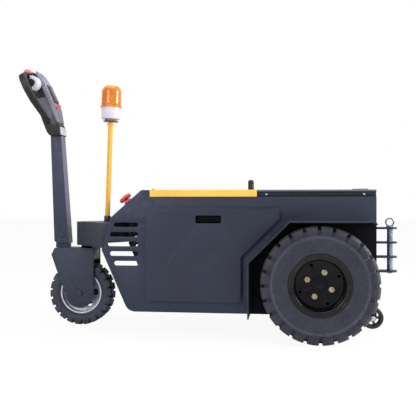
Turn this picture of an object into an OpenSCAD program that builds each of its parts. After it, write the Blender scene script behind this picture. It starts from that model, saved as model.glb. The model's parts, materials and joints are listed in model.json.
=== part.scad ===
// Walk behind electric tug: two driven wheels at the tail, one steered wheel and a tiller at the nose.
// The nose points along -X, the tow hitch along +X, and the ground is z = 0.
// Inside the file every x is counted from the rear axle; the last step centres the whole on the origin.

/* [Overall] */
// Rear axle to front axle
wheelbase = 1048; // [950:1:1200]
// Width over the rear tyres
track_outer = 740; // [720:1:820]
// Gap between a rear tyre and the side plate
tyre_gap = 7; // [5:1:20]
// Ground to the underside of the body
body_bottom = 97; // [85:1:110]
// Ground to the top of the body
body_top = 601; // [590:1:640]
// Rear axle to the outside of the rear plate
tail_x = 227; // [215:1:250]

/* [Side plates] */
// Thickness of the side plates
plate_t = 5; // [3:0.5:8]
// Rear axle to the foot of the front edge
foot_x = 781; // [760:1:790]
// Rear axle to the chin, the foremost point of the side plate
chin_x = 894; // [870:1:915]
// Ground to the chin
chin_z = 352; // [340:1:358]
// Rear axle to the brow, where the slope starts
brow_x = 856; // [840:1:866]
// Ground to the brow
brow_z = 486; // [478:1:500]
// Rear axle to the crown, where the slope ends
crown_x = 725; // [710:1:740]
// Radius of the foot corner
foot_r = 46; // [20:1:55]
// Radius of the crown corner
crown_r = 14; // [5:1:25]
// Height of the vent slots
slot_h = 19; // [12:1:24]
// Length of the longest vent slot
slot_len = 129; // [90:1:130]
// Distance between vent slots
slot_pitch = 40; // [34:1:42]
// Height of the lowest vent slot
slot_z = 297; // [290:1:305]
// Rear axle to the rear ends of the vent slots
slot_x = 738; // [730:1:745]

/* [Body panels] */
// Thickness of the floor pan and the slope panel
pan_t = 4; // [3:0.5:6]
// Rear axle to the front wall of the floor pan
wall_x = 714; // [708:1:722]
// Height of the front wall of the floor pan
wall_h = 400; // [300:1:450]
// Height of the battery lid and the rear deck
lid_h = 28; // [20:1:34]
// Rear axle to the front end of the battery lid
lid_front_x = 690; // [680:1:700]
// Rear axle to the joint between lid and deck
lid_rear_x = 246; // [230:1:260]
// Sheet thickness of the battery lid
lid_t = 3; // [2:0.5:4]
// Depth of the channel along each side of the deck
deck_recess = 11; // [6:1:16]
// Height of the deck's edge above the channel
deck_edge = 9; // [5:1:12]
// Width of the lid knob
knob_w = 26; // [18:1:34]
// Height of the lid knob above the lid
knob_h = 48; // [36:1:56]
// Length of the pad on the deck
pad_l = 63; // [40:1:80]
// Width of the pad on the deck
pad_w = 90; // [50:1:120]
// Thickness of the pad on the deck
pad_t = 8; // [5:1:12]

/* [Nose] */
// Height of the nose shell
nose_h = 105; // [90:1:105]
// Tip of the nose ahead of the front axle
nose_tip_x = 16; // [12:1:24]
// Width of the nose at its tip
nose_tip_w = 80; // [76:1:92]
// Wall of the nose shell
nose_wall = 4; // [3:0.5:5]
// Steering axis behind the front axle
trail = 18; // [14:1:22]
// Diameter of the kingpin
kingpin_d = 30; // [24:1:34]
// Outer diameter of the steering bearings
head_bearing_d = 55; // [50:1:60]
// Height of each steering bearing
head_bearing_h = 16; // [12:1:20]

/* [Doors] */
// Rear axle to the front edge of the door
door_front_x = 702; // [696:1:708]
// Rear axle to the rear edge of the door's lower half
door_rear_x = 311; // [305:1:325]
// Rear axle to the door's upper rear corner
door_tail_x = 155; // [150:1:180]
// Ground to the door's lower edge
door_bottom = 145; // [135:1:155]
// Ground to the door's upper edge
door_top = 524; // [515:1:530]
// Depth of the pressed door
door_d = 20; // [12:1:24]
// Radius of the door corners
door_r = 15; // [8:1:22]
// Sheet thickness of the door
door_t = 3; // [2:0.5:4]
// Width of the hand pull slot
pull_w = 105; // [90:1:120]
// Height of the hand pull slot
pull_h = 32; // [26:1:36]

/* [Fenders] */
// Thickness of the fender strip
fender_t = 5; // [3:0.5:6]
// Rear axle to the fender's upright
fender_front_x = 278; // [270:1:290]
// Rear axle to the front of the fender's flat top
fender_knee_x = 117; // [110:1:125]
// Ground to the fender's flat top
fender_top = 476; // [470:1:482]
// Rear axle to the fender's rear end
fender_rear_x = 216; // [205:1:222]
// Drop of the fender's rear lip
fender_lip = 10; // [6:1:14]

/* [Rear wheels] */
// Diameter of the rear tyres
rear_d = 460; // [440:1:470]
// Width of the rear tyres
rear_w = 128; // [110:1:129]
// Diameter of the rim's bead seat
rear_seat_d = 203; // [195:1:210]
// Diameter of the rim flange
rear_flange_d = 248; // [236:1:260]
// Width of the rear rim
rear_rim_w = 112; // [100:1:114]
// Sheet thickness of the rear rim
rear_rim_t = 4; // [3:0.5:5]
// Thickness of the wheel disc
disc_t = 8; // [5:1:9]
// Number of lugs on each shoulder of a rear tyre
rear_lugs = 24; // [18:1:28]
// Width of the grooves between the rear lugs
rear_groove_w = 10; // [6:1:14]
// Depth of the grooves between the rear lugs
rear_groove_d = 13; // [8:1:18]
// Number of wheel studs
studs = 4; // [3:1:5]
// Pitch circle of the wheel studs
stud_pcd = 101.6; // [95:0.1:108]
// Diameter of the wheel studs
stud_d = 12; // [10:1:14]
// Width of the wheel nuts across the flats
nut_af = 22; // [19:1:24]
// Height of the wheel nuts
nut_h = 12; // [8:1:15]

/* [Drive] */
// Diameter of the half shafts
shaft_d = 34; // [28:1:40]
// Diameter of the shaft flange
hub_flange_d = 126; // [120:1:140]
// Thickness of the shaft flange
hub_flange_t = 10; // [8:1:14]
// Diameter of the axle tube
tube_d = 64; // [54:1:72]
// Diameter of the gear case
case_d = 156; // [130:1:170]
// Length of the gear case across the tug
case_w = 130; // [100:1:160]
// Diameter of the drive motor
motor_d = 140; // [110:1:150]
// Length of the drive motor
motor_l = 180; // [140:1:190]
// Length of a battery
battery_l = 330; // [280:1:340]
// Width of a battery
battery_w = 172; // [150:1:190]
// Height of a battery
battery_h = 235; // [200:1:250]
// Length of the motor controller
controller_l = 180; // [140:1:220]
// Height of the motor controller
controller_h = 84; // [60:1:90]
// Depth of the motor controller
controller_d = 60; // [45:1:70]

/* [Hitch] */
// Rear axle to the tow pin
pin_x = 313; // [305:1:325]
// Diameter of the tow pin
pin_d = 24; // [20:1:26]
// Width of the hitch plates
hitch_w = 60; // [50:1:70]
// Thickness of the hitch plates
hitch_t = 8; // [6:1:10]
// Ground to the lowest hitch plate's middle
hitch_z = 255; // [248:1:262]
// Distance between the hitch plates
hitch_pitch = 61.5; // [55:0.5:63]
// Number of hitch plates
hitch_count = 4; // [3:1:4]
// Outer diameter of the pin's ring
ring_d = 40; // [34:1:46]
// Wire diameter of the pin's ring
ring_wire = 7; // [5:1:8]

/* [Roller] */
// Rear axle to the roller axle
roller_x = 238; // [234:1:246]
// Diameter of the roller
roller_d = 96; // [84:1:98]
// Ground clearance of the roller
roller_lift = 5.5; // [4:0.5:10]
// Width of the roller
roller_w = 32; // [26:1:36]
// Thickness of the roller's tyre
roller_tread = 9; // [6:1:12]
// Diameter of the roller axle
roller_pin_d = 14; // [10:1:16]

/* [Beacon] */
// Rear axle to the foot of the mast
mast_x = 935; // [930:1:945]
// Length of the mast
mast_l = 430; // [380:1:460]
// Diameter of the mast
mast_d = 22; // [18:1:26]
// Lean of the mast towards the tail
mast_lean = 2; // [0:0.5:4]
// Diameter of the beacon base
beacon_d = 89; // [80:1:96]
// Height of the beacon base
beacon_h = 52; // [44:1:60]
// Diameter of the dome's flange
dome_flange_d = 99; // [92:1:104]
// Diameter of the dome
dome_d = 90; // [78:1:94]
// Height of the dome
dome_h = 100; // [85:1:110]

/* [Emergency stop] */
// Diameter of the stop button
stop_d = 55; // [46:1:60]
// Travel of the stop button
stop_travel = 5; // [3:0.5:6]
// Outside of the side plate to the stop button
stop_y = 50; // [40:1:75]

/* [Front wheel] */
// Diameter of the front tyre
front_d = 288; // [270:1:296]
// Width of the front tyre
front_w = 82; // [74:1:86]
// Diameter of the front rim
front_rim_d = 190; // [176:1:200]
// Number of lugs on each shoulder of the front tyre
front_lugs = 22; // [16:1:26]
// Width of the grooves between the front lugs
front_groove_w = 9; // [6:1:12]
// Depth of the grooves between the front lugs
front_groove_d = 9; // [6:1:12]
// Diameter of the front axle
front_axle_d = 20; // [16:1:24]

/* [Fork] */
// Ground to the top of the fork
fork_top = 346; // [342:1:348]
// Thickness of the fork's top plate
fork_top_t = 12; // [8:1:14]
// Thickness of the fork's side plates
fork_t = 6; // [4:1:8]
// Side clearance between tyre and fork
fork_gap = 9; // [6:1:12]

/* [Tiller] */
// Tilt pin ahead of the front axle
tilt_x = 92; // [88:1:96]
// Ground to the tilt pin
tilt_z = 402; // [398:1:406]
// Diameter of the tilt pin
tilt_pin_d = 16; // [12:1:18]
// Width of the tiller arm across the tug
arm_w = 54; // [48:1:60]
// Wall of the tiller arm
arm_wall = 4; // [3:0.5:5]
// Depth of the tiller arm at its foot
arm_foot = 68; // [62:1:72]
// Depth of the tiller arm at its top
arm_tip = 50; // [46:1:60]
// Ground to the top of the tiller arm
arm_top = 853; // [820:1:900]
// Offset of the arm's top ahead of the tilt pin
arm_reach = 27; // [10:1:40]

/* [Tiller head] */
// Lean of the tiller head ahead of upright
head_lean = 24; // [15:1:30]
// Length of the tiller head
head_l = 304; // [296:1:325]
// Width of the head's middle body
head_w = 84; // [76:1:92]
// Width over the guard loop
guard_w = 320; // [300:1:340]
// Width of the guard's side bars
guard_bar = 26; // [20:1:30]
// Depth of the guard's bars
guard_d = 28; // [22:1:32]
// Diameter of the butterfly throttle
throttle_d = 66; // [60:1:76]
// Length of each throttle paddle across the tug
throttle_l = 44; // [36:1:50]
// Travel of the belly button
belly_travel = 7; // [4:1:8]

/* [Hidden] */

// Colours
coat = [0.27, 0.28, 0.33];
dark = [0.13, 0.13, 0.15];
rubber_grey = [0.2, 0.2, 0.23];
rim_black = [0.09, 0.09, 0.1];
yellow = [0.98, 0.8, 0.33];
zinc = [0.62, 0.66, 0.66];
red = [0.85, 0.22, 0.25];
pale = [0.62, 0.62, 0.7];

// Shared values
overrun = 2;
rest_gap = 0.3;
run_gap = 0.05;
seat_gap = 0.1;
panel_gap = 1;
fine = 72;
round_steps = 6;
body_w = track_outer - 2 * (rear_w + tyre_gap);
half_body = body_w / 2;
inner_y = half_body - plate_t;
rear_r = rear_d / 2;
front_r = front_d / 2;
wheel_y = track_outer / 2 - rear_w / 2;
ledge_z = body_top - lid_h;
floor_top = body_bottom + pan_t;
kingpin_x = -wheelbase + trail;
nose_top_drop = 22;
nose_z0 = brow_z - nose_top_drop - nose_h;
nose_z1 = nose_z0 + nose_h;
slope_run = brow_x - crown_x;
slope_rise = body_top - brow_z;
slope_angle = atan2(slope_rise, slope_run);

// Nose and side plate details
slot_length_shares = [0.79, 0.93, 1, 0.93, 0.8];
slot_count = 5;
access_margin = 30;
access_drop = 78;
access_r = 20;
tube_hole_gap = 1;
nose_bulge_shares = [0.6, 0.2];
bearing_wall = 5;
bearing_lift = 2;

// Door pull: the middle of the slot as shares of the door's length and height
pull_x_share = 0.4735;
pull_z_share = 0.885;
pull_r = 6;

// Lid hinge
hinge_y = 150;
hinge_l = 60;
hinge_r = 4;
hinge_pin_d = 4;
hinge_lift = 4.5;
hinge_leaf_l = 22;
hinge_leaf_t = 1.5;
knob_stem_share = 0.5;
knob_cap_share = 0.42;
knob_inset_share = 1.3;
screw_head_d = 12;
screw_head_h = 4;
screw_x_shares = [0.08, 0.9];

// Wheels
flange_room = 6;
tyre_belt_share = 3;
tyre_bevel_share = 1.5;
rear_side_r_share = 0.8;
groove_len_share = 0.34;
groove_slant = 12;
rear_lug_phase = 5.1;
front_seat_w_share = 0.78;
front_hub_d = 58;
front_bearing_d = 42;
front_bearing_w = 14;
front_web_t = 12;
front_rim_wall = 8;
spoke_holes = 6;
spoke_hole_d = 30;
nut_turn = 22;
disc_inset = 10;
disc_hole_d = 40;
valve_hole_d = 12;
valve_place_share = 0.8;

// Drive
bearing_land = 20;
tube_bore_gap = 5;
tube_flange_gap = 5;
motor_neck = 16;
motor_neck_share = 0.8;
battery_gap = 16;
post_d = 16;
post_h = 14;
post_inset = 30;
wall_room = 22;

// Hitch, pin and roller
hitch_back_t = 8;
hitch_back_margin = 14;
hitch_bolt_share = 0.3;
bolt_d = 12;
bolt_head_af = 18;
bolt_head_h = 8;
pin_tail = 5;
pin_collar_d = 32;
pin_collar_h = 4;
ring_sink = 3;
roller_ear_t = 5;
roller_ear_w = 30;
roller_ear_gap = 2;
roller_ear_top = 140;
roller_notch_top = 126;
roller_hub_bore_wall = 5;
roller_nut_share = 1.5;
roller_windows = 5;
roller_window_w = 14;

// Beacon
socket_d = 30;
socket_h = 26;
mast_plate_d = 50;
mast_plate_t = 5;
mast_post_d = 14;
mast_post_h = 28;
dome_flange_h = 7;
dome_wall = 3;
dome_round = 28;
lamp_d = 26;
lamp_h = 52;

// Emergency stop
stop_place_share = 0.53;
stop_ring_d = 44;
stop_ring_h = 6;
stop_neck_d = 30;
stop_neck_h = 10;
stop_stem_d = 14;
stop_cap_h = 14;
stop_cap_round = 6;

// Fork outline, ahead of the steering axis (+) and down from the fork's top, in shares of its height
fork_lead = 148;
fork_tail = 47;
fork_foot_r = 66;
fork_shoulder = 30;
fork_edge_shares = [0.11, 0.46];
fork_web_drop = 52;
fork_boss_d = 50;
bracket_w = 36;
bracket_l = 60;
bracket_r = 18;
arm_drop = 36;
arm_cut_lift = 14;
arm_corner_r = 10;
axle_head_d = 30;
axle_head_h = 5;
king_collar_wall = 4;
king_nut_d = 44;
king_nut_h = 10;
pin_head_d = 24;
pin_head_h = 2;

// Tiller head outlines: height as a share of the head's length, depth as a share of the head's depth
head_depth = 100;
housing_height_shares = [0.15, 0.43, 0.63, 0.97, 1, 1, 0.97, 0.75, 0.1];
housing_depth_shares = [-0.29, -0.25, -0.19, -0.21, -0.17, 0.25, 0.3, 0.36, 0.36];
cover_height_shares = [0.16, 0.27, 0.36, 0.435, 0.78, 0.985, 1];
cover_depth_shares = [0.38, 0.46, 0.53, 0.545, 0.545, 0.43, 0.37];
cover_w_share = 1.05;
cover_seat_share = 0.36;
guard_height_shares = [0.2, 0.33, 0.53, 0.7, 0.84, 0.93, 0.985];
guard_side_shares = [0.28, 0.52, 0.87, 1, 1, 0.92, 0.68];
hole_height_shares = [0.34, 0.56, 0.7, 0.83, 0.885, 0.945, 0.965];
hole_side_shares = [0.2, 0.68, 0.83, 0.83, 0.77, 0.6, 0.2];
throttle_height_share = 0.82;
throttle_depth_share = 0.09;
throttle_shaft_d = 14;
throttle_root = head_w * (cover_w_share - 1) / 2 + panel_gap;
throttle_back = 10;
belly_w = 68;
belly_depth_shares = [-0.24, 0.1];
belly_h = 24;
belly_r = 11;
belly_stem_d = 16;
belly_stem_l = 18;
display_height_shares = [0.45, 0.76];
display_depth_share = 0.61;
display_slope_share = 0.02;
display_w_share = 0.62;
horn_height_share = 0.935;
horn_d = 24;
horn_h = 9;
horn_travel = 3;
key_height_share = 0.38;
key_d = 16;
key_h = 8;
key_blade = 14;
key_t = 2;
key_side_share = 0.3;

// Length from the nose end to the hitch end, and the shift that centres it
head_x = -wheelbase - tilt_x - arm_reach;
belly_corner_a = head_l + rest_gap + belly_travel + belly_h - belly_r;
belly_corner_b = belly_depth_shares[0] * head_depth + belly_r;
front_end = head_x - sin(head_lean) * belly_corner_a + cos(head_lean) * belly_corner_b - belly_r;
rear_end = pin_x + hitch_w / 2;
x_shift = -(front_end + rear_end) / 2;

// Points of an arc that rounds the corner b between a and c
function unit(v) = v / norm(v);
function arc_corner(a, b, c, r) =
    let (
        u = unit(a - b),
        w = unit(c - b),
        half = acos(u * w) / 2,
        centre = b + unit(u + w) * r / sin(half),
        s = b + u * r / tan(half) - centre,
        e = b + w * r / tan(half) - centre,
        a0 = atan2(s.y, s.x),
        raw = atan2(e.y, e.x) - a0,
        sweep = raw > 180 ? raw - 360 : raw < -180 ? raw + 360 : raw
    )
    [
        for (i = [0:round_steps])
            let (turn = a0 + sweep * i / round_steps)
            centre + r * [cos(turn), sin(turn)]
    ];

// An outline whose corners are rounded by the radii given, zero for a sharp corner
function rounded(points, radii) =
    let (n = len(points))
    [
        for (i = [0:n - 1])
            each radii[i] == 0 ? [points[i]]
                : arc_corner(points[(i + n - 1) % n], points[i], points[(i + 1) % n], radii[i])
    ];

// A closed outline moved by t to the left of its direction, with mitred corners
function left_of(v) = [-v.y, v.x];
function moved(points, t) =
    let (n = len(points))
    [
        for (i = [0:n - 1])
            let (
                u = left_of(unit(points[i] - points[(i + n - 1) % n])),
                w = left_of(unit(points[(i + 1) % n] - points[i])),
                m = unit(u + w)
            )
            points[i] + m * t / (m * u)
    ];

// An open line moved by t to its left
function moved_line(points, t) =
    let (n = len(points))
    [
        for (i = [0:n - 1])
            let (
                u = left_of(unit(i == 0 ? points[1] - points[0] : points[i] - points[i - 1])),
                w = left_of(unit(i == n - 1 ? points[i] - points[i - 1] : points[i + 1] - points[i])),
                m = unit(u + w)
            )
            points[i] + m * t / (m * u)
    ];
function reversed(points) = [for (i = [len(points) - 1:-1:0]) points[i]];

// Placing helpers
module centred() translate([x_shift, 0, 0]) children();
module side_view(y, depth) translate([0, y + depth, 0]) rotate([90, 0, 0]) linear_extrude(depth) children();
module across(x, z) translate([x, 0, z]) rotate([-90, 0, 0]) children();
module sided(side) mirror([0, side < 0 ? 1 : 0, 0]) children();
module rod(d, h, z = 0) translate([0, 0, z]) cylinder(d = d, h = h, $fn = fine);
module in_head() translate([head_x, 0, arm_top]) rotate([0, -head_lean, 0]) children();
module on_mast(h) translate([-mast_x, 0, nose_z1]) rotate([0, mast_lean, 0]) translate([0, 0, h]) children();
module on_slope(y)
    translate([-brow_x + slope_run * stop_place_share, y, brow_z + slope_rise * stop_place_share])
        rotate([0, -slope_angle, 0]) children();
module hexagon_bar(af, h) cylinder(d = af / cos(30), h = h, $fn = 6);
module ring(d_out, d_in, h)
    difference() {
        cylinder(d = d_out, h = h, $fn = fine);
        translate([0, 0, -overrun]) cylinder(d = d_in, h = h + 2 * overrun, $fn = fine);
    }

// Body shell

module slot_shape(l, h) {
    translate([h / 2, -h / 2]) square([l - h, h]);
    translate([h / 2, 0]) circle(d = h, $fn = fine);
    translate([l - h / 2, 0]) circle(d = h, $fn = fine);
}

module side_outline() {
    shape = [
        [tail_x, body_bottom], [tail_x, ledge_z], [-lid_front_x, ledge_z], [-lid_front_x, body_top],
        [-crown_x, body_top], [-brow_x, brow_z], [-chin_x, chin_z], [-foot_x, body_bottom]
    ];
    polygon(rounded(shape, [0, 0, 0, 0, crown_r, crown_r / 2, crown_r, foot_r]));
}

// The opening behind the door, which follows the door's outline
module access_outline() {
    inner = moved(door_shape(), access_margin);
    intersection() {
        polygon(rounded(inner, [for (p = inner) access_r]));
        translate([-door_front_x, door_bottom]) square([door_front_x, door_top - door_bottom - access_drop]);
    }
}

module side_plate(side)
    color(coat) sided(side) difference() {
        side_view(inner_y, plate_t) side_outline();
        side_view(inner_y - overrun, plate_t + 2 * overrun) access_outline();
        for (i = [0:slot_count - 1])
            side_view(inner_y - overrun, plate_t + 2 * overrun)
                translate([-slot_x - slot_len * slot_length_shares[i], slot_z + slot_pitch * i])
                    slot_shape(slot_len * slot_length_shares[i], slot_h);
        across(0, rear_r) cylinder(d = tube_d + 2 * tube_hole_gap, h = half_body + overrun, $fn = fine);
    }

module side_plate_left() centred() side_plate(-1);
module side_plate_right() centred() side_plate(1);

module roller_notch()
    translate([roller_x - roller_d, -roller_w / 2 - roller_ear_t - roller_ear_gap - panel_gap, 0])
        cube([roller_d, roller_w + 2 * (roller_ear_t + roller_ear_gap + panel_gap), roller_notch_top]);

module floor_pan() centred() color(coat) difference() {
    union() {
        translate([floor_front().x, -inner_y, body_bottom])
            cube([tail_x - pan_t - floor_front().x, 2 * inner_y, pan_t]);
        translate([-wall_x, -inner_y, body_bottom]) cube([pan_t, 2 * inner_y, wall_h]);
    }
    roller_notch();
}

module rear_plate() centred() color(coat) difference() {
    translate([tail_x - pan_t, -inner_y, body_bottom]) cube([pan_t, 2 * inner_y, ledge_z - body_bottom]);
    roller_notch();
    hitch_holes();
}

// A bent sheet between the side plates, its outer face along the given line
module bent_sheet(line, t) {
    back = reversed(moved_line(line, t));
    side_view(-inner_y, 2 * inner_y) polygon(concat(line, back));
}

// The start of the foot corner's arc, where the floor pan ends
function floor_front() = arc_corner([0, body_bottom], [-foot_x, body_bottom], [-chin_x, chin_z], foot_r)[0];

module slope_panel() centred() color(coat)
    bent_sheet([
        brow_edge(nose_z1), [-brow_x, brow_z], [-crown_x, body_top], [-lid_front_x, body_top]
    ], -pan_t);

// Half of the nose's plan, from the side plate to the tip
function bezier(a, b, c, t) = (1 - t) * (1 - t) * a + 2 * t * (1 - t) * b + t * t * c;
function nose_side(grow) =
    let (
        root = [-chin_x, half_body - grow],
        back = [-brow_x, half_body - grow],
        tip = [-wheelbase - nose_tip_x + grow, nose_tip_w / 2 - grow],
        bulge = [
            root.x + (tip.x - root.x) * nose_bulge_shares[0],
            tip.y + (root.y - tip.y) * nose_bulge_shares[1]
        ]
    )
    concat([back], [for (i = [0:round_steps * 2]) bezier(root, bulge, tip, i / (round_steps * 2))]);
module nose_plan(grow) {
    half = nose_side(grow);
    polygon(concat(half, [for (p = reversed(half)) [p.x, -p.y]]));
}

module nose_shell() centred() color(coat) difference() {
    union() {
        difference() {
            translate([0, 0, nose_z0]) linear_extrude(nose_h) nose_plan(0);
            translate([0, 0, nose_z0 - overrun])
                linear_extrude(nose_h - nose_wall + overrun) nose_plan(nose_wall);
        }
        translate([kingpin_x, 0, nose_z0]) rod(head_bearing_d + 2 * bearing_wall, nose_h - nose_wall);
    }
    translate([kingpin_x, 0, nose_z0 - overrun])
        rod(head_bearing_d + 2 * seat_gap, nose_h - nose_wall + overrun);
    translate([-mast_x, 0, nose_z1 - nose_wall - overrun]) rod(mast_post_d, nose_wall + 2 * overrun);
    side_view(-half_body - overrun, body_w + 2 * overrun)
        polygon([[-chin_x, chin_z], brow_edge(nose_z1 + overrun), [0, nose_z1 + overrun], [0, chin_z]]);
}

// The point at height z on the side plate's front edge, between chin and brow
function brow_edge(z) = [-chin_x + (chin_x - brow_x) * (z - chin_z) / (brow_z - chin_z), z];

module fender(side)
    color(coat) sided(side) {
        line = [
            [-fender_front_x, body_bottom],
            [-fender_front_x, fender_top - (fender_front_x - fender_knee_x)],
            [-fender_knee_x, fender_top],
            [fender_rear_x - fender_lip, fender_top],
            [fender_rear_x, fender_top - fender_lip]
        ];
        back = reversed(moved_line(line, -fender_t));
        side_view(half_body, track_outer / 2 - half_body - panel_gap) polygon(concat(line, back));
    }

module fender_left() centred() fender(-1);
module fender_right() centred() fender(1);

// Doors

function door_shape() =
    let (knee = door_rear_x - door_tail_x)
    [
        [-door_front_x, door_bottom], [-door_rear_x, door_bottom],
        [-door_rear_x, door_top - knee - 2 * door_r - slot_h / 2],
        [-door_tail_x, door_top - 2 * door_r - slot_h / 2],
        [-door_tail_x, door_top], [-door_front_x, door_top]
    ];

module door(side)
    color(coat) sided(side) difference() {
        side_view(half_body + rest_gap, door_d)
            polygon(rounded(door_shape(), [for (p = door_shape()) door_r]));
        side_view(half_body + rest_gap - overrun, door_d - door_t + overrun)
            polygon(rounded(moved(door_shape(), door_t), [for (p = door_shape()) door_r - door_t]));
        translate([door_pull_x() - pull_w / 2, half_body, door_pull_z() - pull_h / 2])
            side_view(0, door_d + overrun) polygon(rounded(
                [[0, 0], [pull_w, 0], [pull_w, pull_h], [0, pull_h]], [pull_r, pull_r, pull_r, pull_r]));
    }
function door_pull_x() = -door_front_x + (door_front_x - door_tail_x) * pull_x_share;
function door_pull_z() = door_bottom + (door_top - door_bottom) * pull_z_share;

module door_left() centred() door(-1);
module door_right() centred() door(1);

// Lid and deck

hinge_x = -lid_front_x;
hinge_z = body_top + hinge_lift;
module hinge_knuckle(y, l)
    across(hinge_x, hinge_z) translate([0, 0, y]) ring(2 * hinge_r, hinge_pin_d + 2 * run_gap, l);

module battery_lid() centred() color(yellow) {
    length = lid_front_x - lid_rear_x - 2 * panel_gap;
    difference() {
        translate([-lid_front_x + panel_gap, -half_body, ledge_z + rest_gap])
            cube([length, body_w, lid_h - rest_gap]);
        translate([-lid_front_x + panel_gap + lid_t, -half_body + lid_t, ledge_z - overrun])
            cube([length - 2 * lid_t, body_w - 2 * lid_t, lid_h - lid_t + overrun]);
    }
    for (side = [-1, 1]) {
        y = side * hinge_y - hinge_l / 4 + rest_gap;
        difference() {
            union() {
                hinge_knuckle(y, hinge_l / 2 - 2 * rest_gap);
                translate([hinge_x + hinge_pin_d / 2 + panel_gap, y, body_top - lid_t])
                    cube([hinge_r, hinge_l / 2 - 2 * rest_gap, lid_t + hinge_lift]);
            }
            across(hinge_x, hinge_z) rod(hinge_pin_d + 2 * run_gap, hinge_l, y - overrun);
        }
    }
}

module lid_hinge() centred() color(zinc) for (side = [-1, 1]) {
    across(hinge_x, hinge_z) rod(hinge_pin_d, hinge_l, side * hinge_y - hinge_l / 2);
    for (end = [-1, 1]) {
        y = side * hinge_y + end * hinge_l * 3 / 8 - hinge_l / 8;
        across(hinge_x, hinge_z) rod(2 * hinge_r, hinge_l / 4, y);
        translate([hinge_x - hinge_leaf_l, y, body_top]) cube([hinge_leaf_l, hinge_l / 4, hinge_leaf_t]);
    }
}

lid_knob_x = -lid_rear_x - panel_gap - lid_t - knob_w * knob_inset_share;
module lid_knob() centred() color(dark) translate([lid_knob_x, 0, body_top]) {
    cylinder(d = knob_w * knob_stem_share, h = knob_h * (1 - knob_cap_share), $fn = fine);
    translate([0, 0, knob_h * (1 - knob_cap_share)]) rotate_extrude($fn = fine)
        polygon(rounded([
            [0, 0], [knob_w / 2, 0], [knob_w / 2, knob_h * knob_cap_share], [0, knob_h * knob_cap_share]
        ], [0, knob_w / 8, knob_w / 5, 0]));
}

module rear_deck() centred() color(coat) {
    length = lid_rear_x + tail_x;
    difference() {
        union() {
            translate([-lid_rear_x, -half_body, body_top - deck_edge]) cube([length, body_w, deck_edge]);
            translate([-lid_rear_x, -half_body + deck_recess, ledge_z])
                cube([length, body_w - 2 * deck_recess, lid_h - deck_edge]);
        }
        translate([-lid_rear_x + pan_t, -half_body + deck_recess + pan_t, ledge_z - overrun])
            cube([length - 2 * pan_t, body_w - 2 * (deck_recess + pan_t), lid_h - pan_t + overrun]);
    }
}

module deck_pad() centred() color(zinc)
    translate([tail_x - pan_t * 2 - pad_l, -pad_w / 2, body_top]) cube([pad_l, pad_w, pad_t]);

module deck_screws() centred() color(zinc)
    for (side = [-1, 1], share = screw_x_shares) {
        x = -lid_rear_x + (lid_rear_x + tail_x) * share;
        sided(side) across(x, ledge_z + (lid_h - deck_edge) / 2)
            rod(screw_head_d, screw_head_h, half_body - deck_recess);
    }

// Batteries and controller

battery_x = -wall_x + pan_t + wall_room;
module batteries() centred() color(dark) for (side = [-1, 1]) {
    y = side * (battery_gap + battery_w) / 2;
    translate([battery_x, y - battery_w / 2, floor_top]) cube([battery_l, battery_w, battery_h]);
    for (end = [0, 1])
        translate([battery_x + post_inset + end * (battery_l - 2 * post_inset), y, floor_top + battery_h])
            cylinder(d = post_d, h = post_h, $fn = fine);
}

module motor_controller() centred() color(zinc)
    translate([tail_x - pan_t - controller_d, -controller_l / 2, ledge_z - controller_h - bolt_head_h])
        cube([controller_d, controller_l, controller_h]);

// Drive train

tube_end = disc_back() - hub_flange_t - tube_flange_gap;
function disc_back() = wheel_y - disc_inset;
module transaxle() centred() color(zinc) difference() {
    union() {
        across(0, rear_r) rod(case_d, case_w, -case_w / 2);
        across(0, rear_r) rod(tube_d, 2 * tube_end, -tube_end);
        translate([-case_d / 2 - motor_neck, 0, rear_r]) rotate([0, 90, 0])
            rod(motor_d * motor_neck_share, case_d / 2);
        translate([-tube_d / 2, -case_w / 2, floor_top]) cube([tube_d, case_w, rear_r - floor_top]);
    }
    for (side = [-1, 1]) sided(side) across(0, rear_r) {
        rod(shaft_d + 2 * tube_bore_gap, tube_end - case_w / 4 - bearing_land, case_w / 4);
        rod(shaft_d + 2 * run_gap, tube_end, case_w / 4);
    }
}

module drive_motor() centred() color(dark)
    translate([-case_d / 2 - motor_neck - motor_l, 0, rear_r]) rotate([0, 90, 0])
        cylinder(d = motor_d, h = motor_l, $fn = fine);

module at_studs(r = stud_pcd / 2)
    for (i = [0:studs - 1]) rotate([0, 0, nut_turn + 360 * i / studs]) translate([r, 0, 0]) children();

module axle_shaft(side) color(zinc) sided(side) across(0, rear_r) {
    rod(shaft_d, disc_back() - case_w / 4 - panel_gap, case_w / 4 + panel_gap);
    rod(hub_flange_d, hub_flange_t, disc_back() - hub_flange_t);
    rod(disc_hole_d - 2 * seat_gap, disc_t, disc_back());
    at_studs() rod(stud_d, disc_t + nut_h + 2 * panel_gap, disc_back() - panel_gap);
}

module axle_shaft_left() centred() axle_shaft(-1);
module axle_shaft_right() centred() axle_shaft(1);

module rear_rim(side) color(rim_black) sided(side) across(0, rear_r) difference() {
    union() {
        translate([0, 0, wheel_y - rear_rim_w / 2]) rotate_extrude($fn = fine) polygon([
            [rear_seat_d / 2 - rear_rim_t, 0], [rear_flange_d / 2, 0], [rear_flange_d / 2, rear_rim_t],
            [rear_seat_d / 2, rear_rim_t], [rear_seat_d / 2, rear_rim_w - rear_rim_t],
            [rear_flange_d / 2, rear_rim_w - rear_rim_t], [rear_flange_d / 2, rear_rim_w],
            [rear_seat_d / 2 - rear_rim_t, rear_rim_w]
        ]);
        rod(rear_seat_d - rear_rim_t, disc_t, disc_back());
    }
    cut = disc_t + 2 * overrun;
    rod(disc_hole_d, cut, disc_back() - overrun);
    at_studs() rod(stud_d + 2 * seat_gap, cut, disc_back() - overrun);
    at_studs(stud_pcd * valve_place_share) rotate([0, 0, 45]) rod(valve_hole_d, cut, disc_back() - overrun);
}

module rear_rim_left() centred() rear_rim(-1);
module rear_rim_right() centred() rear_rim(1);

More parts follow.
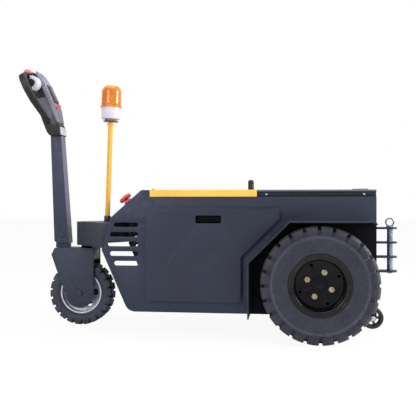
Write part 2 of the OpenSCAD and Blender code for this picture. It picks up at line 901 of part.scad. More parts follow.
// A solid tyre between the rim's flanges, with grooves cut into both shoulders
function tyre_profile(r_seat, r_flange, r_out, w, w_seat) =
    let (
        side_r = r_flange + (r_out - r_flange) * rear_side_r_share,
        belt = flange_room * tyre_belt_share,
        bevel = flange_room * tyre_bevel_share
    )
    rounded([
        [r_seat, -w_seat / 2], [r_flange, -w_seat / 2], [r_flange, -w / 2 + flange_room],
        [side_r - belt, -w / 2], [side_r, -w / 2], [r_out, -w / 2 + bevel],
        [r_out, w / 2 - bevel], [side_r, w / 2], [side_r - belt, w / 2],
        [r_flange, w / 2 - flange_room], [r_flange, w_seat / 2], [r_seat, w_seat / 2]
    ], [0, 0, 0, 0, 0, flange_room, flange_room, 0, 0, 0, 0, 0]);

module tyre(r_seat, r_flange, r_out, w, w_seat, lugs, groove_w, groove_d, phase) difference() {
    rotate_extrude($fn = fine) polygon(tyre_profile(r_seat, r_flange, r_out, w, w_seat));
    for (end = [-1, 1], i = [0:lugs - 1])
        rotate([0, 0, phase + 360 * (i + (end > 0 ? 0 : 0.5)) / lugs])
            translate([r_out - groove_d, 0, end * w / 2]) rotate([end * groove_slant, 0, 0])
                translate([0, -groove_w / 2, -w * groove_len_share])
                    cube([groove_d + overrun, groove_w, 2 * w * groove_len_share]);
}

module rear_tyre(side) color(rubber_grey) sided(side) across(0, rear_r) translate([0, 0, wheel_y])
    tyre(rear_seat_d / 2 + seat_gap, rear_flange_d / 2 + seat_gap, rear_r, rear_w,
        rear_rim_w - 2 * rear_rim_t - 2 * seat_gap, rear_lugs, rear_groove_w, rear_groove_d, rear_lug_phase);

module rear_tyre_left() centred() rear_tyre(-1);
module rear_tyre_right() centred() rear_tyre(1);

module wheel_nuts(side) color(zinc) sided(side) across(0, rear_r) at_studs()
    translate([0, 0, disc_back() + disc_t]) difference() {
        hexagon_bar(nut_af, nut_h);
        translate([0, 0, -overrun]) cylinder(d = stud_d + 2 * seat_gap, h = nut_h + 2 * overrun, $fn = fine);
    }

module wheel_nuts_left() centred() wheel_nuts(-1);
module wheel_nuts_right() centred() wheel_nuts(1);

// Hitch

hitch_z0 = hitch_z - hitch_t / 2;
hitch_z1 = hitch_z0 + hitch_pitch * (hitch_count - 1) + hitch_t;
module hitch_holes()
    for (side = [-1, 1], z = [hitch_z0 + hitch_pitch / 2, hitch_z1 - hitch_pitch / 2])
        translate([tail_x - pan_t - overrun, side * hitch_w * hitch_bolt_share, z]) rotate([0, 90, 0])
            rod(bolt_d + 2 * seat_gap, pan_t + hitch_back_t + 2 * overrun);

module hitch_bracket() centred() color(coat) difference() {
    union() {
        translate([tail_x, -hitch_w / 2, hitch_z0 - hitch_back_margin])
            cube([hitch_back_t, hitch_w, hitch_z1 - hitch_z0 + 2 * hitch_back_margin]);
        for (i = [0:hitch_count - 1]) translate([0, 0, hitch_z0 + hitch_pitch * i]) {
            translate([tail_x + hitch_back_t, -hitch_w / 2, 0])
                cube([pin_x - tail_x - hitch_back_t, hitch_w, hitch_t]);
            translate([pin_x, 0, 0]) rod(hitch_w, hitch_t);
        }
    }
    translate([pin_x, 0, hitch_z0 - overrun])
        cylinder(d = pin_d + 2 * run_gap, h = hitch_z1 - hitch_z0 + 2 * overrun, $fn = fine);
    hitch_holes();
}

module hitch_bolts() centred() color(zinc)
    for (side = [-1, 1], z = [hitch_z0 + hitch_pitch / 2, hitch_z1 - hitch_pitch / 2])
        translate([tail_x, side * hitch_w * hitch_bolt_share, z]) rotate([0, 90, 0]) {
            translate([0, 0, -pan_t - bolt_head_h]) hexagon_bar(bolt_head_af, bolt_head_h);
            rod(bolt_d, pan_t + hitch_back_t + 2 * panel_gap, -pan_t - panel_gap);
            translate([0, 0, hitch_back_t]) hexagon_bar(bolt_head_af, bolt_head_h);
        }

module tow_pin() centred() color(zinc) translate([pin_x, 0, 0]) {
    collar_z = hitch_z1 + rest_gap;
    pin_z = hitch_z0 - pin_tail;
    rod(pin_d, collar_z + pin_collar_h - pin_z, pin_z);
    rod(pin_collar_d, pin_collar_h, collar_z);
    translate([0, 0, collar_z + pin_collar_h + ring_d / 2 - ring_sink]) rotate([90, 0, 0])
        rotate_extrude($fn = fine) translate([(ring_d - ring_wire) / 2, 0]) circle(d = ring_wire, $fn = fine);
}

// Roller

roller_z = roller_lift + roller_d / 2;
module roller_bracket() centred() color(coat) {
    difference() {
        for (side = [-1, 1]) sided(side) side_view(roller_w / 2 + roller_ear_gap, roller_ear_t) {
            polygon([
                [tail_x, roller_ear_top], [tail_x, body_bottom], [roller_x - roller_ear_w / 2, roller_z],
                [roller_x + roller_ear_w / 2, roller_z], [roller_x + roller_ear_w / 4, roller_ear_top]
            ]);
            translate([roller_x, roller_z]) circle(d = roller_ear_w, $fn = fine);
        }
        across(roller_x, roller_z) translate([0, 0, -roller_w])
            cylinder(d = roller_pin_d + 2 * seat_gap, h = 2 * roller_w, $fn = fine);
    }
    translate([tail_x, -roller_w / 2 - roller_ear_gap, roller_ear_top - pan_t])
        cube([roller_x - tail_x + roller_ear_w / 4, roller_w + 2 * roller_ear_gap, pan_t]);
    translate([tail_x, -roller_w / 2 - roller_ear_gap, roller_notch_top + panel_gap])
        cube([pan_t, roller_w + 2 * roller_ear_gap, roller_ear_top - roller_notch_top - panel_gap]);
}

roller_axle_l = roller_w + 2 * (roller_ear_gap + roller_ear_t + bolt_head_h);
module roller_axle() centred() color(zinc) across(roller_x, roller_z) {
    translate([0, 0, -roller_axle_l / 2]) cylinder(d = roller_pin_d, h = roller_axle_l, $fn = fine);
    for (end = [-1, 1]) translate([0, 0, end * (roller_axle_l / 2 - bolt_head_h / 2) - bolt_head_h / 2])
        hexagon_bar(roller_pin_d * roller_nut_share, bolt_head_h);
}

module roller_hub() centred() color(zinc) across(roller_x, roller_z) {
    hub_r = roller_pin_d / 2 + roller_hub_bore_wall;
    core_r = roller_d / 2 - roller_tread;
    difference() {
        translate([0, 0, -roller_w / 2]) union() {
            ring(2 * core_r, 2 * core_r - 2 * roller_hub_bore_wall, roller_w);
            rod(2 * core_r - roller_hub_bore_wall, roller_w / 2, roller_w / 4);
            rod(2 * hub_r, roller_w);
        }
        rod(roller_pin_d + 2 * run_gap, 2 * roller_w, -roller_w);
        for (i = [0:roller_windows - 1]) rotate([0, 0, 360 * (i + 0.5) / roller_windows])
            translate([(hub_r + core_r - roller_hub_bore_wall) / 2, 0, -roller_w])
                rod(roller_window_w, 2 * roller_w);
    }
}

module roller_tyre() centred() color(dark) across(roller_x, roller_z) translate([0, 0, -roller_w / 2])
    ring(roller_d, roller_d - 2 * roller_tread + 2 * seat_gap, roller_w);

// Beacon

module mast_socket() centred() color(dark) difference() {
    on_mast(0) cylinder(d = socket_d, h = socket_h, $fn = fine);
    on_mast(-overrun) cylinder(d = mast_d + 2 * seat_gap, h = socket_h + 2 * overrun, $fn = fine);
    translate([-mast_x - socket_d, -socket_d, nose_z1 - socket_d])
        cube([2 * socket_d, 2 * socket_d, socket_d]);
}

module mast() centred() color(yellow) {
    on_mast(panel_gap) cylinder(d = mast_d, h = mast_l - panel_gap, $fn = fine);
    on_mast(mast_l) cylinder(d = mast_post_d, h = mast_post_h, $fn = fine);
    on_mast(mast_l + mast_post_h) cylinder(d = mast_plate_d, h = mast_plate_t, $fn = fine);
}

beacon_z = mast_l + mast_post_h + mast_plate_t;
module beacon_base() centred() color("white") on_mast(beacon_z) {
    cylinder(d = beacon_d, h = beacon_h, $fn = fine);
    translate([0, 0, beacon_h]) cylinder(d = lamp_d + 2 * dome_wall, h = dome_flange_h, $fn = fine);
}

module beacon_lamp() centred() color(pale) on_mast(beacon_z + beacon_h + dome_flange_h)
    rotate_extrude($fn = fine) polygon(rounded(
        [[0, 0], [lamp_d / 2, 0], [lamp_d / 2, lamp_h], [0, lamp_h]], [0, 0, lamp_d / 3, 0]));

module beacon_dome() centred() color([1, 0.55, 0.12]) on_mast(beacon_z + beacon_h) rotate_extrude($fn = fine)
    polygon(concat(
        [[dome_d / 2 - dome_wall, 0], [dome_flange_d / 2, 0], [dome_flange_d / 2, dome_flange_h]],
        arc_corner([dome_d / 2, dome_flange_h], [dome_d / 2, dome_h], [0, dome_h], dome_round),
        [[0, dome_h], [0, dome_h - dome_wall]],
        arc_corner([0, dome_h - dome_wall], [dome_d / 2 - dome_wall, dome_h - dome_wall],
            [dome_d / 2 - dome_wall, 0], dome_round - dome_wall)
    ));

// Emergency stop

module stop_base() centred() color(dark) on_slope(stop_y - half_body) difference() {
    union() {
        cylinder(d = stop_ring_d, h = stop_ring_h, $fn = fine);
        cylinder(d = stop_neck_d, h = stop_ring_h + stop_neck_h, $fn = fine);
    }
    rod(stop_stem_d + 2 * run_gap, stop_ring_h + stop_neck_h, panel_gap);
}

stop_cap_z = stop_ring_h + stop_neck_h + stop_travel + rest_gap;
module stop_button() centred() color(red) on_slope(stop_y - half_body) {
    rod(stop_stem_d, stop_cap_z - stop_travel - rest_gap, stop_travel + panel_gap + rest_gap);
    translate([0, 0, stop_cap_z]) rotate_extrude($fn = fine) polygon(rounded(
        [[0, 0], [stop_d / 2, 0], [stop_d / 2, stop_cap_h], [0, stop_cap_h]], [0, 0, stop_cap_round, 0]));
}

// Steering head and fork

lower_bearing_z = nose_z0 + bearing_lift;
upper_bearing_z = nose_z1 - nose_wall - head_bearing_h - king_nut_h - 2 * rest_gap;
module steering_bearings() centred() color(zinc)
    for (z = [lower_bearing_z, upper_bearing_z])
        translate([kingpin_x, 0, z]) ring(head_bearing_d, kingpin_d + 2 * run_gap, head_bearing_h);

module kingpin() centred() color(zinc) translate([kingpin_x, 0, 0]) {
    nut_z = upper_bearing_z + head_bearing_h + rest_gap;
    rod(kingpin_d, nut_z + king_nut_h - fork_top, fork_top);
    translate([0, 0, nut_z]) cylinder(d = king_nut_d, h = king_nut_h, $fn = 6);
    rod(fork_boss_d, nose_z0 - rest_gap - fork_top, fork_top);
    rod(kingpin_d + 2 * king_collar_wall, lower_bearing_z - rest_gap - fork_top, fork_top);
}

fork_in = front_w / 2 + fork_gap;
fork_x0 = kingpin_x - fork_lead;
fork_x1 = kingpin_x + fork_tail;
module fork_outline() {
    drop = fork_top - front_r;
    polygon([
        [fork_x1, fork_top], [fork_x0 + fork_shoulder / 2, fork_top], [fork_x0, fork_top - fork_shoulder],
        [fork_x0 + drop * fork_edge_shares[0], fork_top - drop * fork_edge_shares[1]],
        [-wheelbase - fork_foot_r, front_r],
        [fork_x1, front_r]
    ]);
    translate([-wheelbase, front_r]) circle(r = fork_foot_r, $fn = fine);
}

tilt_pin_x = -wheelbase - tilt_x;
module fork() centred() color(coat) difference() {
    union() {
        for (side = [-1, 1]) sided(side) side_view(fork_in, fork_t) fork_outline();
        translate([fork_x0 + fork_shoulder / 2, -fork_in, fork_top - fork_top_t])
            cube([fork_x1 - fork_x0 - fork_shoulder / 2, 2 * fork_in, fork_top_t]);
        translate([fork_x1 - fork_t, -fork_in, fork_top - fork_web_drop])
            cube([fork_t, 2 * fork_in, fork_web_drop]);
        side_view(-bracket_w / 2, bracket_w) {
            translate([tilt_pin_x - bracket_l / 2, fork_top])
                square([bracket_l, tilt_z - arm_drop - fork_top - rest_gap]);
            translate([tilt_pin_x - bracket_r, fork_top]) square([2 * bracket_r, tilt_z - fork_top]);
            translate([tilt_pin_x, tilt_z]) circle(r = bracket_r, $fn = fine);
        }
    }
    across(-wheelbase, front_r) rod(front_axle_d + 2 * seat_gap, 2 * front_w, -front_w);
    across(tilt_pin_x, tilt_z) rod(tilt_pin_d + 2 * seat_gap, 2 * bracket_w, -bracket_w);
}

module front_axle() centred() color(zinc) across(-wheelbase, front_r) {
    half = fork_in + fork_t;
    rod(front_axle_d, 2 * half, -half);
    for (end = [-1, 1]) translate([0, 0, end * (half + axle_head_h / 2) - axle_head_h / 2])
        cylinder(d = axle_head_d, h = axle_head_h, $fn = 6);
}

hub_w = front_w * front_seat_w_share;
hub_l = 2 * (fork_in - panel_gap);
module front_bearings() centred() color(zinc) across(-wheelbase, front_r)
    for (end = [-1, 1]) translate([0, 0, end * (hub_l / 2 - front_bearing_w / 2) - front_bearing_w / 2])
        ring(front_bearing_d, front_axle_d + 2 * run_gap, front_bearing_w);

module front_rim() centred() color(pale) across(-wheelbase, front_r) difference() {
    union() {
        translate([0, 0, -hub_w / 2]) ring(front_rim_d, front_rim_d - 2 * front_rim_wall, hub_w);
        rod(front_rim_d - front_rim_wall, front_web_t, -front_web_t / 2);
        rod(front_hub_d, hub_l, -hub_l / 2);
    }
    rod(front_bearing_d + 2 * seat_gap, 2 * hub_l, -hub_l);
    for (i = [0:spoke_holes - 1]) rotate([0, 0, 360 * i / spoke_holes])
        translate([(front_hub_d + front_rim_d - 2 * front_rim_wall) / 4, 0, -hub_w])
            rod(spoke_hole_d, 2 * hub_w);
}

module front_tyre() centred() color(rubber_grey) across(-wheelbase, front_r)
    tyre(front_rim_d / 2 + seat_gap, front_rim_d / 2 + flange_room, front_r, front_w,
        hub_w, front_lugs, front_groove_w, front_groove_d, 0);

// Tiller arm

arm_bottom = tilt_z - arm_drop;
function arm_side(back, inset) =
    let (
        foot = tilt_pin_x + back * (arm_foot / 2 - inset),
        tip = tilt_pin_x - arm_reach + back * (arm_tip / 2 - inset)
    )
    [[foot, arm_bottom], [tip, arm_top]];
module arm_outline(inset) {
    front = arm_side(-1, inset);
    rear = arm_side(1, inset);
    polygon([rear[0], rear[1], front[1], front[0]]);
}

module tiller_arm() centred() color(coat) difference() {
    side_view(-arm_w / 2, arm_w) arm_outline(0);
    side_view(-arm_w / 2 + arm_wall, arm_w - 2 * arm_wall) difference() {
        translate([0, -overrun]) arm_outline(arm_wall);
        translate([tilt_pin_x - arm_foot * 2, arm_top - arm_wall]) square([arm_foot * 4, arm_foot]);
    }
    translate([tilt_pin_x - arm_foot, -arm_w / 2 + arm_wall, arm_bottom - overrun])
        cube([arm_foot, arm_w - 2 * arm_wall, arm_drop + arm_cut_lift + overrun]);
    translate([tilt_pin_x - arm_foot / 2, -arm_w, arm_bottom]) rotate([-90, 0, 0])
        cylinder(r = arm_corner_r, h = 2 * arm_w, $fn = 4);
    across(tilt_pin_x, tilt_z) rod(tilt_pin_d + 2 * run_gap, 2 * arm_w, -arm_w);
}

module tilt_pin() centred() color(zinc) across(tilt_pin_x, tilt_z) {
    half = arm_w / 2 + rest_gap;
    rod(tilt_pin_d, 2 * half, -half);
    for (end = [-1, 1]) translate([0, 0, end * (half + pin_head_h / 2) - pin_head_h / 2])
        cylinder(d = pin_head_d, h = pin_head_h, $fn = fine);
}

// Tiller head, drawn with its depth along X and its height along Z

function head_point(depth_share, height_share) = [depth_share * head_depth, height_share * head_l];
function collar_point(depth) = [depth, -depth * tan(head_lean)];

module tiller_head() centred() color(dark) in_head() difference() {
    side_view(-head_w / 2, head_w) polygon(concat(
        [collar_point(-arm_tip / 2 * cos(head_lean))],
        [
            for (i = [0:len(housing_depth_shares) - 1])
                head_point(housing_depth_shares[i], housing_height_shares[i])
        ],
        [collar_point(arm_tip / 2 * cos(head_lean))]
    ));
    across(throttle_depth_share * head_depth, throttle_height_share * head_l)
        rod(throttle_shaft_d + 2 * run_gap, 2 * head_w, -head_w);
    rod(belly_stem_d + 2 * run_gap, belly_stem_l * 2, head_l - belly_stem_l - belly_travel - rest_gap);
    horn_place() rod(horn_d / 2 + 2 * run_gap, horn_h * 3, -horn_travel - 2 * rest_gap - horn_h);
}

module console_cover() centred() color(pale) in_head() difference() {
    side_view(-head_w * cover_w_share / 2, head_w * cover_w_share) polygon(concat(
        [
            for (i = [0:len(cover_depth_shares) - 1])
                head_point(cover_depth_shares[i], cover_height_shares[i])
        ],
        [head_point(cover_seat_share, cover_height_shares[0])]
    ));
    horn_place() rod(horn_d / 2 + 2 * run_gap, horn_h * 3, -horn_h);
}

// The cover's depth at a height share
function cover_depth(share) = lookup(share, [
    for (i = [0:len(cover_depth_shares) - 1]) [cover_height_shares[i], cover_depth_shares[i]]
]);

// The horn's place on the cover's upper slope, with Z square to it
module horn_place()
    translate([cover_depth(horn_height_share) * head_depth, 0, horn_height_share * head_l])
        rotate([0, 90 - horn_tilt, 0]) children();
horn_tilt = atan2(
    (cover_depth_shares[4] - cover_depth_shares[5]) * head_depth,
    (cover_height_shares[5] - cover_height_shares[4]) * head_l
);

module horn_button() centred() color(zinc) in_head() horn_place() {
    rod(horn_d / 2, horn_h, -horn_h / 2);
    rod(horn_d, horn_h, horn_travel + rest_gap);
}

module display_panel() centred() color(dark) in_head()
    side_view(-head_w * display_w_share / 2, head_w * display_w_share) polygon([
        for (end = [0, 1]) head_point(cover_depth(display_height_shares[end]), display_height_shares[end]),
        for (end = [1, 0])
            let (height = display_height_shares[end] + (end > 0 ? -1 : 1) * display_slope_share)
            head_point(display_depth_share, height)
    ]);

module key_switch() centred() color(red) in_head() {
    depth = cover_depth(key_height_share) * head_depth + 2 * rest_gap;
    translate([depth, -head_w * key_side_share, key_height_share * head_l]) rotate([0, 90, 0]) {
        rod(key_d, key_h);
        translate([-key_blade / 2, -key_t / 2, key_h]) cube([key_blade, key_t, key_blade]);
    }
}

// Half of the guard's outline, sideways and up
function guard_point(side_share, height_share) = [side_share * guard_w / 2, height_share * head_l];
function guard_outer() = [
    for (i = [0:len(guard_side_shares) - 1]) guard_point(guard_side_shares[i], guard_height_shares[i])
];
function guard_inner() = [
    for (i = [0:len(hole_side_shares) - 1]) guard_point(hole_side_shares[i], hole_height_shares[i])
];
module guard_half() {
    outer = guard_outer();
    ends = concat([[head_w / 2, outer[0].y]], outer, [[head_w / 2, head_l]]);
    polygon(rounded(ends, [for (i = [0:len(ends) - 1]) i > 1 && i < len(ends) - 1 ? guard_bar / 2 : 0]));
}
module grip_guard() centred() color(dark) in_head() for (side = [-1, 1]) sided(side)
    translate([-guard_d / 2, 0, 0]) rotate([90, 0, 90]) linear_extrude(guard_d) difference() {
        guard_half();
        polygon(rounded(guard_inner(), [for (i = [0:len(hole_side_shares) - 1]) guard_bar / 4]));
    }

module throttle() centred() color(pale) in_head()
    translate([throttle_depth_share * head_depth, 0, throttle_height_share * head_l]) {
        half = head_w / 2 + throttle_root + throttle_l;
        rotate([-90, 0, 0]) rod(throttle_shaft_d, 2 * half, -half);
        for (side = [-1, 1]) sided(side) side_view(head_w / 2 + throttle_root, throttle_l) difference() {
            circle(d = throttle_d, $fn = fine);
            translate([-throttle_d - throttle_back, -throttle_d]) square([throttle_d, 2 * throttle_d]);
        }
    }

module belly_button() centred() color(red) in_head() {
    b0 = belly_depth_shares[0] * head_depth;
    b1 = belly_depth_shares[1] * head_depth;
    z0 = head_l + rest_gap + belly_travel;
    side_view(-belly_w / 2, belly_w) polygon(rounded(
        [[b0, z0], [b1, z0], [b1, z0 + belly_h], [b0, z0 + belly_h]], [0, 0, belly_r, belly_r]));
    rod(belly_stem_d, belly_stem_l + belly_travel + belly_h / 2, head_l - belly_stem_l);
}

side_plate_left();
side_plate_right();
floor_pan();
rear_plate();
slope_panel();
nose_shell();
fender_left();
fender_right();
door_left();
door_right();
battery_lid();
lid_knob();
lid_hinge();
rear_deck();
deck_pad();
deck_screws();
batteries();
motor_controller();
transaxle();
drive_motor();
axle_shaft_left();
axle_shaft_right();
rear_rim_left();
rear_rim_right();
rear_tyre_left();
rear_tyre_right();
wheel_nuts_left();
wheel_nuts_right();
hitch_bracket();
hitch_bolts();
tow_pin();
roller_bracket();
roller_axle();
roller_hub();
roller_tyre();
mast_socket();
mast();
beacon_base();
beacon_dome();
beacon_lamp();
stop_base();
stop_button();
kingpin();
steering_bearings();
fork();
front_axle();
front_bearings();
front_rim();
front_tyre();
tilt_pin();
tiller_arm();
tiller_head();
console_cover();
grip_guard();
throttle();
belly_button();
horn_button();
display_panel();
key_switch();
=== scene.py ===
# %% [markdown]
# A walk behind electric tug: a battery box on two driven wheels, with one steered wheel under a tiller.
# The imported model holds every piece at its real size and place. This lesson adds what it lacks:
# soft edges, moulded and pressed shapes, tyre treads, and a finish for every surface.
# Units are metres. The nose points along -X, the hitch along +X and the ground is z = 0.

# %% Load the frame
import json
from math import atan2, cos, pi, radians, sin

import bpy
from mathutils import Matrix, Vector


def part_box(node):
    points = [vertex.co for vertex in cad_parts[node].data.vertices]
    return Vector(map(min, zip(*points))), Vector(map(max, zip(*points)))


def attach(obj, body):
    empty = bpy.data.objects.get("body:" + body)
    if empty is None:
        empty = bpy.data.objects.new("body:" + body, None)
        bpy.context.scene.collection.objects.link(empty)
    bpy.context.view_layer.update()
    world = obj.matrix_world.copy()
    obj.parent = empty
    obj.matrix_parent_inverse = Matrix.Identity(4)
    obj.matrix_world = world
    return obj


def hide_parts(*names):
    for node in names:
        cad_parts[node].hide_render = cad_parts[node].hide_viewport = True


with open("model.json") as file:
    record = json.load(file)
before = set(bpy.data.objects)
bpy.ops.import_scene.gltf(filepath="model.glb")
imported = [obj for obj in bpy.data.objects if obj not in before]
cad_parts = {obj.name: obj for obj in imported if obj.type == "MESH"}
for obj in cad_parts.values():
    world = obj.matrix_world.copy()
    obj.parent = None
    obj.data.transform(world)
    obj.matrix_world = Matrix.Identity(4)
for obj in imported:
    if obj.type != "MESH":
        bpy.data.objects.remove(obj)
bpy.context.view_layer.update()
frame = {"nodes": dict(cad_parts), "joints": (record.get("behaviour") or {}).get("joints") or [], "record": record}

nodes = frame["nodes"]
joints = {joint["name"]: joint for joint in frame["joints"]}
body_of_node = {
    node: body for body, members in frame["record"]["behaviour"]["bodies"].items() for node in members
}
axle_x = joints["rear_wheel_left_spin"]["pos_m"][0]
rear_radius = 0.230

# %% [markdown]
# The camera stands where the photographer stood: level, a little below the deck and seven degrees
# round towards the tail. A long lens keeps the plates straight. The small shift lifts the horizon.

# %% Camera
frame_px = 416
focal_px = 652
horizon_px = 204
sensor = 36.0
camera_turn = radians(7)
camera_place = Vector((0.368, -2.88, 0.543))

bpy.ops.object.select_all(action="DESELECT")
bpy.ops.object.camera_add(location=camera_place, rotation=(pi / 2, 0, camera_turn))
camera = bpy.context.object
camera.data.sensor_width = sensor
camera.data.lens = sensor * focal_px / frame_px
camera.data.shift_y = (horizon_px - frame_px / 2) / frame_px
bpy.context.scene.camera = camera
bpy.context.scene.view_settings.view_transform = "Standard"
print("lens", round(camera.data.lens, 1), "mm")

# %% [markdown]
# The sky and every finish are built from nodes. A few helpers add a node, set its values and link
# what feeds it, so that a finish reads as a short list of what it is made of.


# %% Node wiring
def fed(tree, node, inputs):
    """Sets a node's inputs: a socket is linked, and anything else is a value."""
    for name, value in inputs.items():
        if isinstance(value, bpy.types.NodeSocket):
            tree.links.new(value, node.inputs[name])
        else:
            node.inputs[name].default_value = value


def added(tree, kind, inputs=None, **settings):
    """The outputs of a new node of a kind, with its settings and its inputs."""
    node = tree.nodes.new("ShaderNode" + kind)
    for name, value in settings.items():
        setattr(node, name, value)
    fed(tree, node, inputs or {})
    return node.outputs


def maths(tree, operation, first, second):
    """A sum, product or comparison of two sockets, or of a socket and a number."""
    return added(tree, "Math", {0: first, 1: second}, operation=operation)[0]


def mapped(tree, value, start, stop, low=0.0, high=1.0):
    """The value's way from start to stop, turned into a way from low to high."""
    return added(tree, "MapRange", {
        "Value": value, "From Min": start, "From Max": stop, "To Min": low, "To Max": high})["Result"]


print("wiring ready")

# %% [markdown]
# The photo was taken in a white studio. The world shows white to the camera and in reflections, which
# gives painted edges their pale glint, and lights the tug more gently than that.
# One large lamp overhead, one beside the camera and a strong one at the tail model the shapes.

# %% World and lamps
sky_level = 0.62
world = bpy.data.worlds.new("studio")
bpy.context.scene.world = world
world.use_nodes = True
sky = world.node_tree
rays = added(sky, "LightPath")
seen = maths(sky, "MAXIMUM", rays["Is Camera Ray"], rays["Is Glossy Ray"])
seen = maths(sky, "MAXIMUM", seen, rays["Is Transmission Ray"])
fed(sky, sky.nodes["Background"], {"Color": (1, 1, 1, 1), "Strength": mapped(sky, seen, 0, 1, sky_level, 1)})


def soft_lamp(name, place, target, size, power):
    """A square area lamp that faces the target."""
    turn = (Vector(target) - Vector(place)).to_track_quat("-Z", "Y").to_euler()
    bpy.ops.object.light_add(type="AREA", location=place, rotation=turn)
    lamp = bpy.context.object
    lamp.name = name
    lamp.data.size = size
    lamp.data.energy = power


soft_lamp("overhead_lamp", (-0.3, -0.4, 3.2), (0, 0, 0.3), 2.4, 42)
soft_lamp("camera_side_lamp", (-1.8, -3.2, 1.9), (0, 0, 0.4), 1.6, 38)
soft_lamp("tail_lamp", (3.2, -0.2, 1.7), (-0.6, 0, 0.5), 1.4, 130)

# %% [markdown]
# The floor is a plain pale sheet. It is part of the stage and not of the tug.

# %% Floor
floor_size = 40
bpy.ops.mesh.primitive_plane_add(size=floor_size, location=(0, 0, 0))
floor = bpy.context.object
floor.name = "studio_floor"

# %% [markdown]
# Every finish is a small node tree round one Principled shader. Three patterns do most of the work:
# cloudy noise that mixes two near colours, noise that changes the gloss, and fine noise as a bump.
# All read Object coordinates, so the pattern stays on the piece when it moves.


# %% Pattern helpers
def begin(name):
    """A new material with its node tree, its shader and the Object coordinates."""
    material = bpy.data.materials.new(name)
    material.use_nodes = True
    tree = material.node_tree
    return material, tree, tree.nodes["Principled BSDF"], added(tree, "TexCoord")["Object"]


def noise(tree, place, scale, detail=2.0):
    return added(tree, "TexNoise", {"Vector": place, "Scale": scale, "Detail": detail})["Fac"]


def ramped(tree, factor, stops):
    """A colour ramp through (position, colour) stops."""
    node = tree.nodes.new("ShaderNodeValToRGB")
    for position, colour in stops[1:-1]:
        node.color_ramp.elements.new(position)
    for element, (position, colour) in zip(node.color_ramp.elements, stops):
        element.position = position
        element.color = (*colour, 1)
    fed(tree, node, {"Fac": factor})
    return node.outputs["Color"]


def colours(tree, shader, factor, dark, light):
    """Base colour between dark and light, by the factor."""
    fed(tree, shader, {"Base Color": ramped(tree, factor, [(0.35, dark), (0.65, light)])})


def tinted(tree, shader, factor, tint, blend="MIX"):
    """Lays a tint over the base colour, as far as the factor says."""
    base = shader.inputs["Base Color"].links[0].from_socket
    mix = added(tree, "Mix", {"Factor": factor, "A": base, "B": tint}, data_type="RGBA", blend_type=blend)
    fed(tree, shader, {"Base Color": mix["Result"]})


def gloss(tree, shader, factor, smooth, rough):
    """Roughness between two values, by the factor."""
    fed(tree, shader, {"Roughness": mapped(tree, factor, 0.3, 0.7, smooth, rough)})


def relief(tree, shader, height, strength, depth):
    """A bump of the given depth in metres."""
    bump = added(tree, "Bump", {"Height": height, "Strength": strength, "Distance": depth})
    fed(tree, shader, {"Normal": bump["Normal"]})


def shade(colour, factor):
    """The colour made lighter or darker."""
    return tuple(min(1.0, part * factor) for part in colour)


print("helpers ready")

# %% [markdown]
# The body is powder coated: a dark blue-grey with a fine sandy texture. Real powder coat looks even
# from afar, and close up it has grains about a millimetre wide, with a gloss that wanders a little.


# %% Powder coat
coat_sheen = 0.4


def powder_coat(name, colour):
    material, tree, shader, place = begin(name)
    fed(tree, shader, {"Specular IOR Level": coat_sheen, "Specular Tint": (0.80, 0.85, 1.0, 1)})
    colours(tree, shader, noise(tree, place, 3.5, 4), shade(colour, 0.9), shade(colour, 1.12))
    grain = noise(tree, place, 900, 3)
    tinted(tree, shader, mapped(tree, grain, 0.6, 0.9), (*shade(colour, 1.7), 1))
    gloss(tree, shader, noise(tree, place, 45, 3), 0.4, 0.58)
    relief(tree, shader, grain, 0.35, 0.0004)
    return material


coat = powder_coat("powder_coat", (0.014, 0.0165, 0.028))
plate_coat = powder_coat("powder_coat_plate", (0.0180, 0.0205, 0.038))
door_coat = powder_coat("powder_coat_door", (0.018, 0.0200, 0.037))
fork_coat = powder_coat("powder_coat_fork", (0.022, 0.0245, 0.042))
arm_coat = powder_coat("powder_coat_arm", (0.027, 0.029, 0.050))
# A pale coat for the deck's bend: a painted highlight.
bend_highlight_coat = powder_coat("powder_coat_bend_highlight", (0.105, 0.103, 0.135))
print("powder coats ready")

# %% [markdown]
# Two coats change with their place on the piece, by painted light. The side plate is painted near black as painted
# shade under the fender, behind the wheel and behind the door's pull, and the arm's rear face is painted paler as
# a painted highlight. Comparisons of the coordinates make a mask of ones and zeros, and the mask lays a tint over
# the coat.


# %% Coats with painted shade and painted highlight
well_front = axle_x - 0.276
well_top = 0.4705
well_slant = 0.586 - axle_x
pull_span = (axle_x - 0.499, axle_x - 0.387)
pull_rise = (0.461, 0.499)
# Near black painted shade for the wheel well and the pull's recess
painted_well_shade = (0.003, 0.003, 0.0045, 1)
well_sheen = 0.08
arm_slant = 0.0739
arm_back = axle_x - 1.0803
# Pale tint painted on the arm's rear face as a painted highlight
arm_painted_highlight = (0.13, 0.13, 0.19, 1)


def opened(material):
    """A finished material's tree and shader, and its X and Z coordinates."""
    tree = material.node_tree
    split = added(tree, "SeparateXYZ", {0: added(tree, "TexCoord")["Object"]})
    return tree, tree.nodes["Principled BSDF"], split["X"], split["Z"]


def between(tree, value, low, high):
    """One where the value lies between two limits, else zero."""
    above = maths(tree, "GREATER_THAN", value, low)
    return maths(tree, "MULTIPLY", above, maths(tree, "LESS_THAN", value, high))


# Painted shade: under the fender, behind the wheel and behind the door's pull the side plate is painted near
# black, with less sheen.
def paint_well_shade(material):
    tree, shader, across, up = opened(material)
    below_slant = maths(tree, "LESS_THAN", maths(tree, "SUBTRACT", up, across), well_slant)
    well = maths(tree, "MULTIPLY", maths(tree, "GREATER_THAN", across, well_front), below_slant)
    well = maths(tree, "MULTIPLY", well, maths(tree, "LESS_THAN", up, well_top))
    pull = maths(tree, "MULTIPLY", between(tree, across, *pull_span), between(tree, up, *pull_rise))
    mask = maths(tree, "MAXIMUM", well, pull)
    tinted(tree, shader, mask, painted_well_shade)
    fed(tree, shader, {"Specular IOR Level": mapped(tree, mask, 0, 1, coat_sheen, well_sheen)})


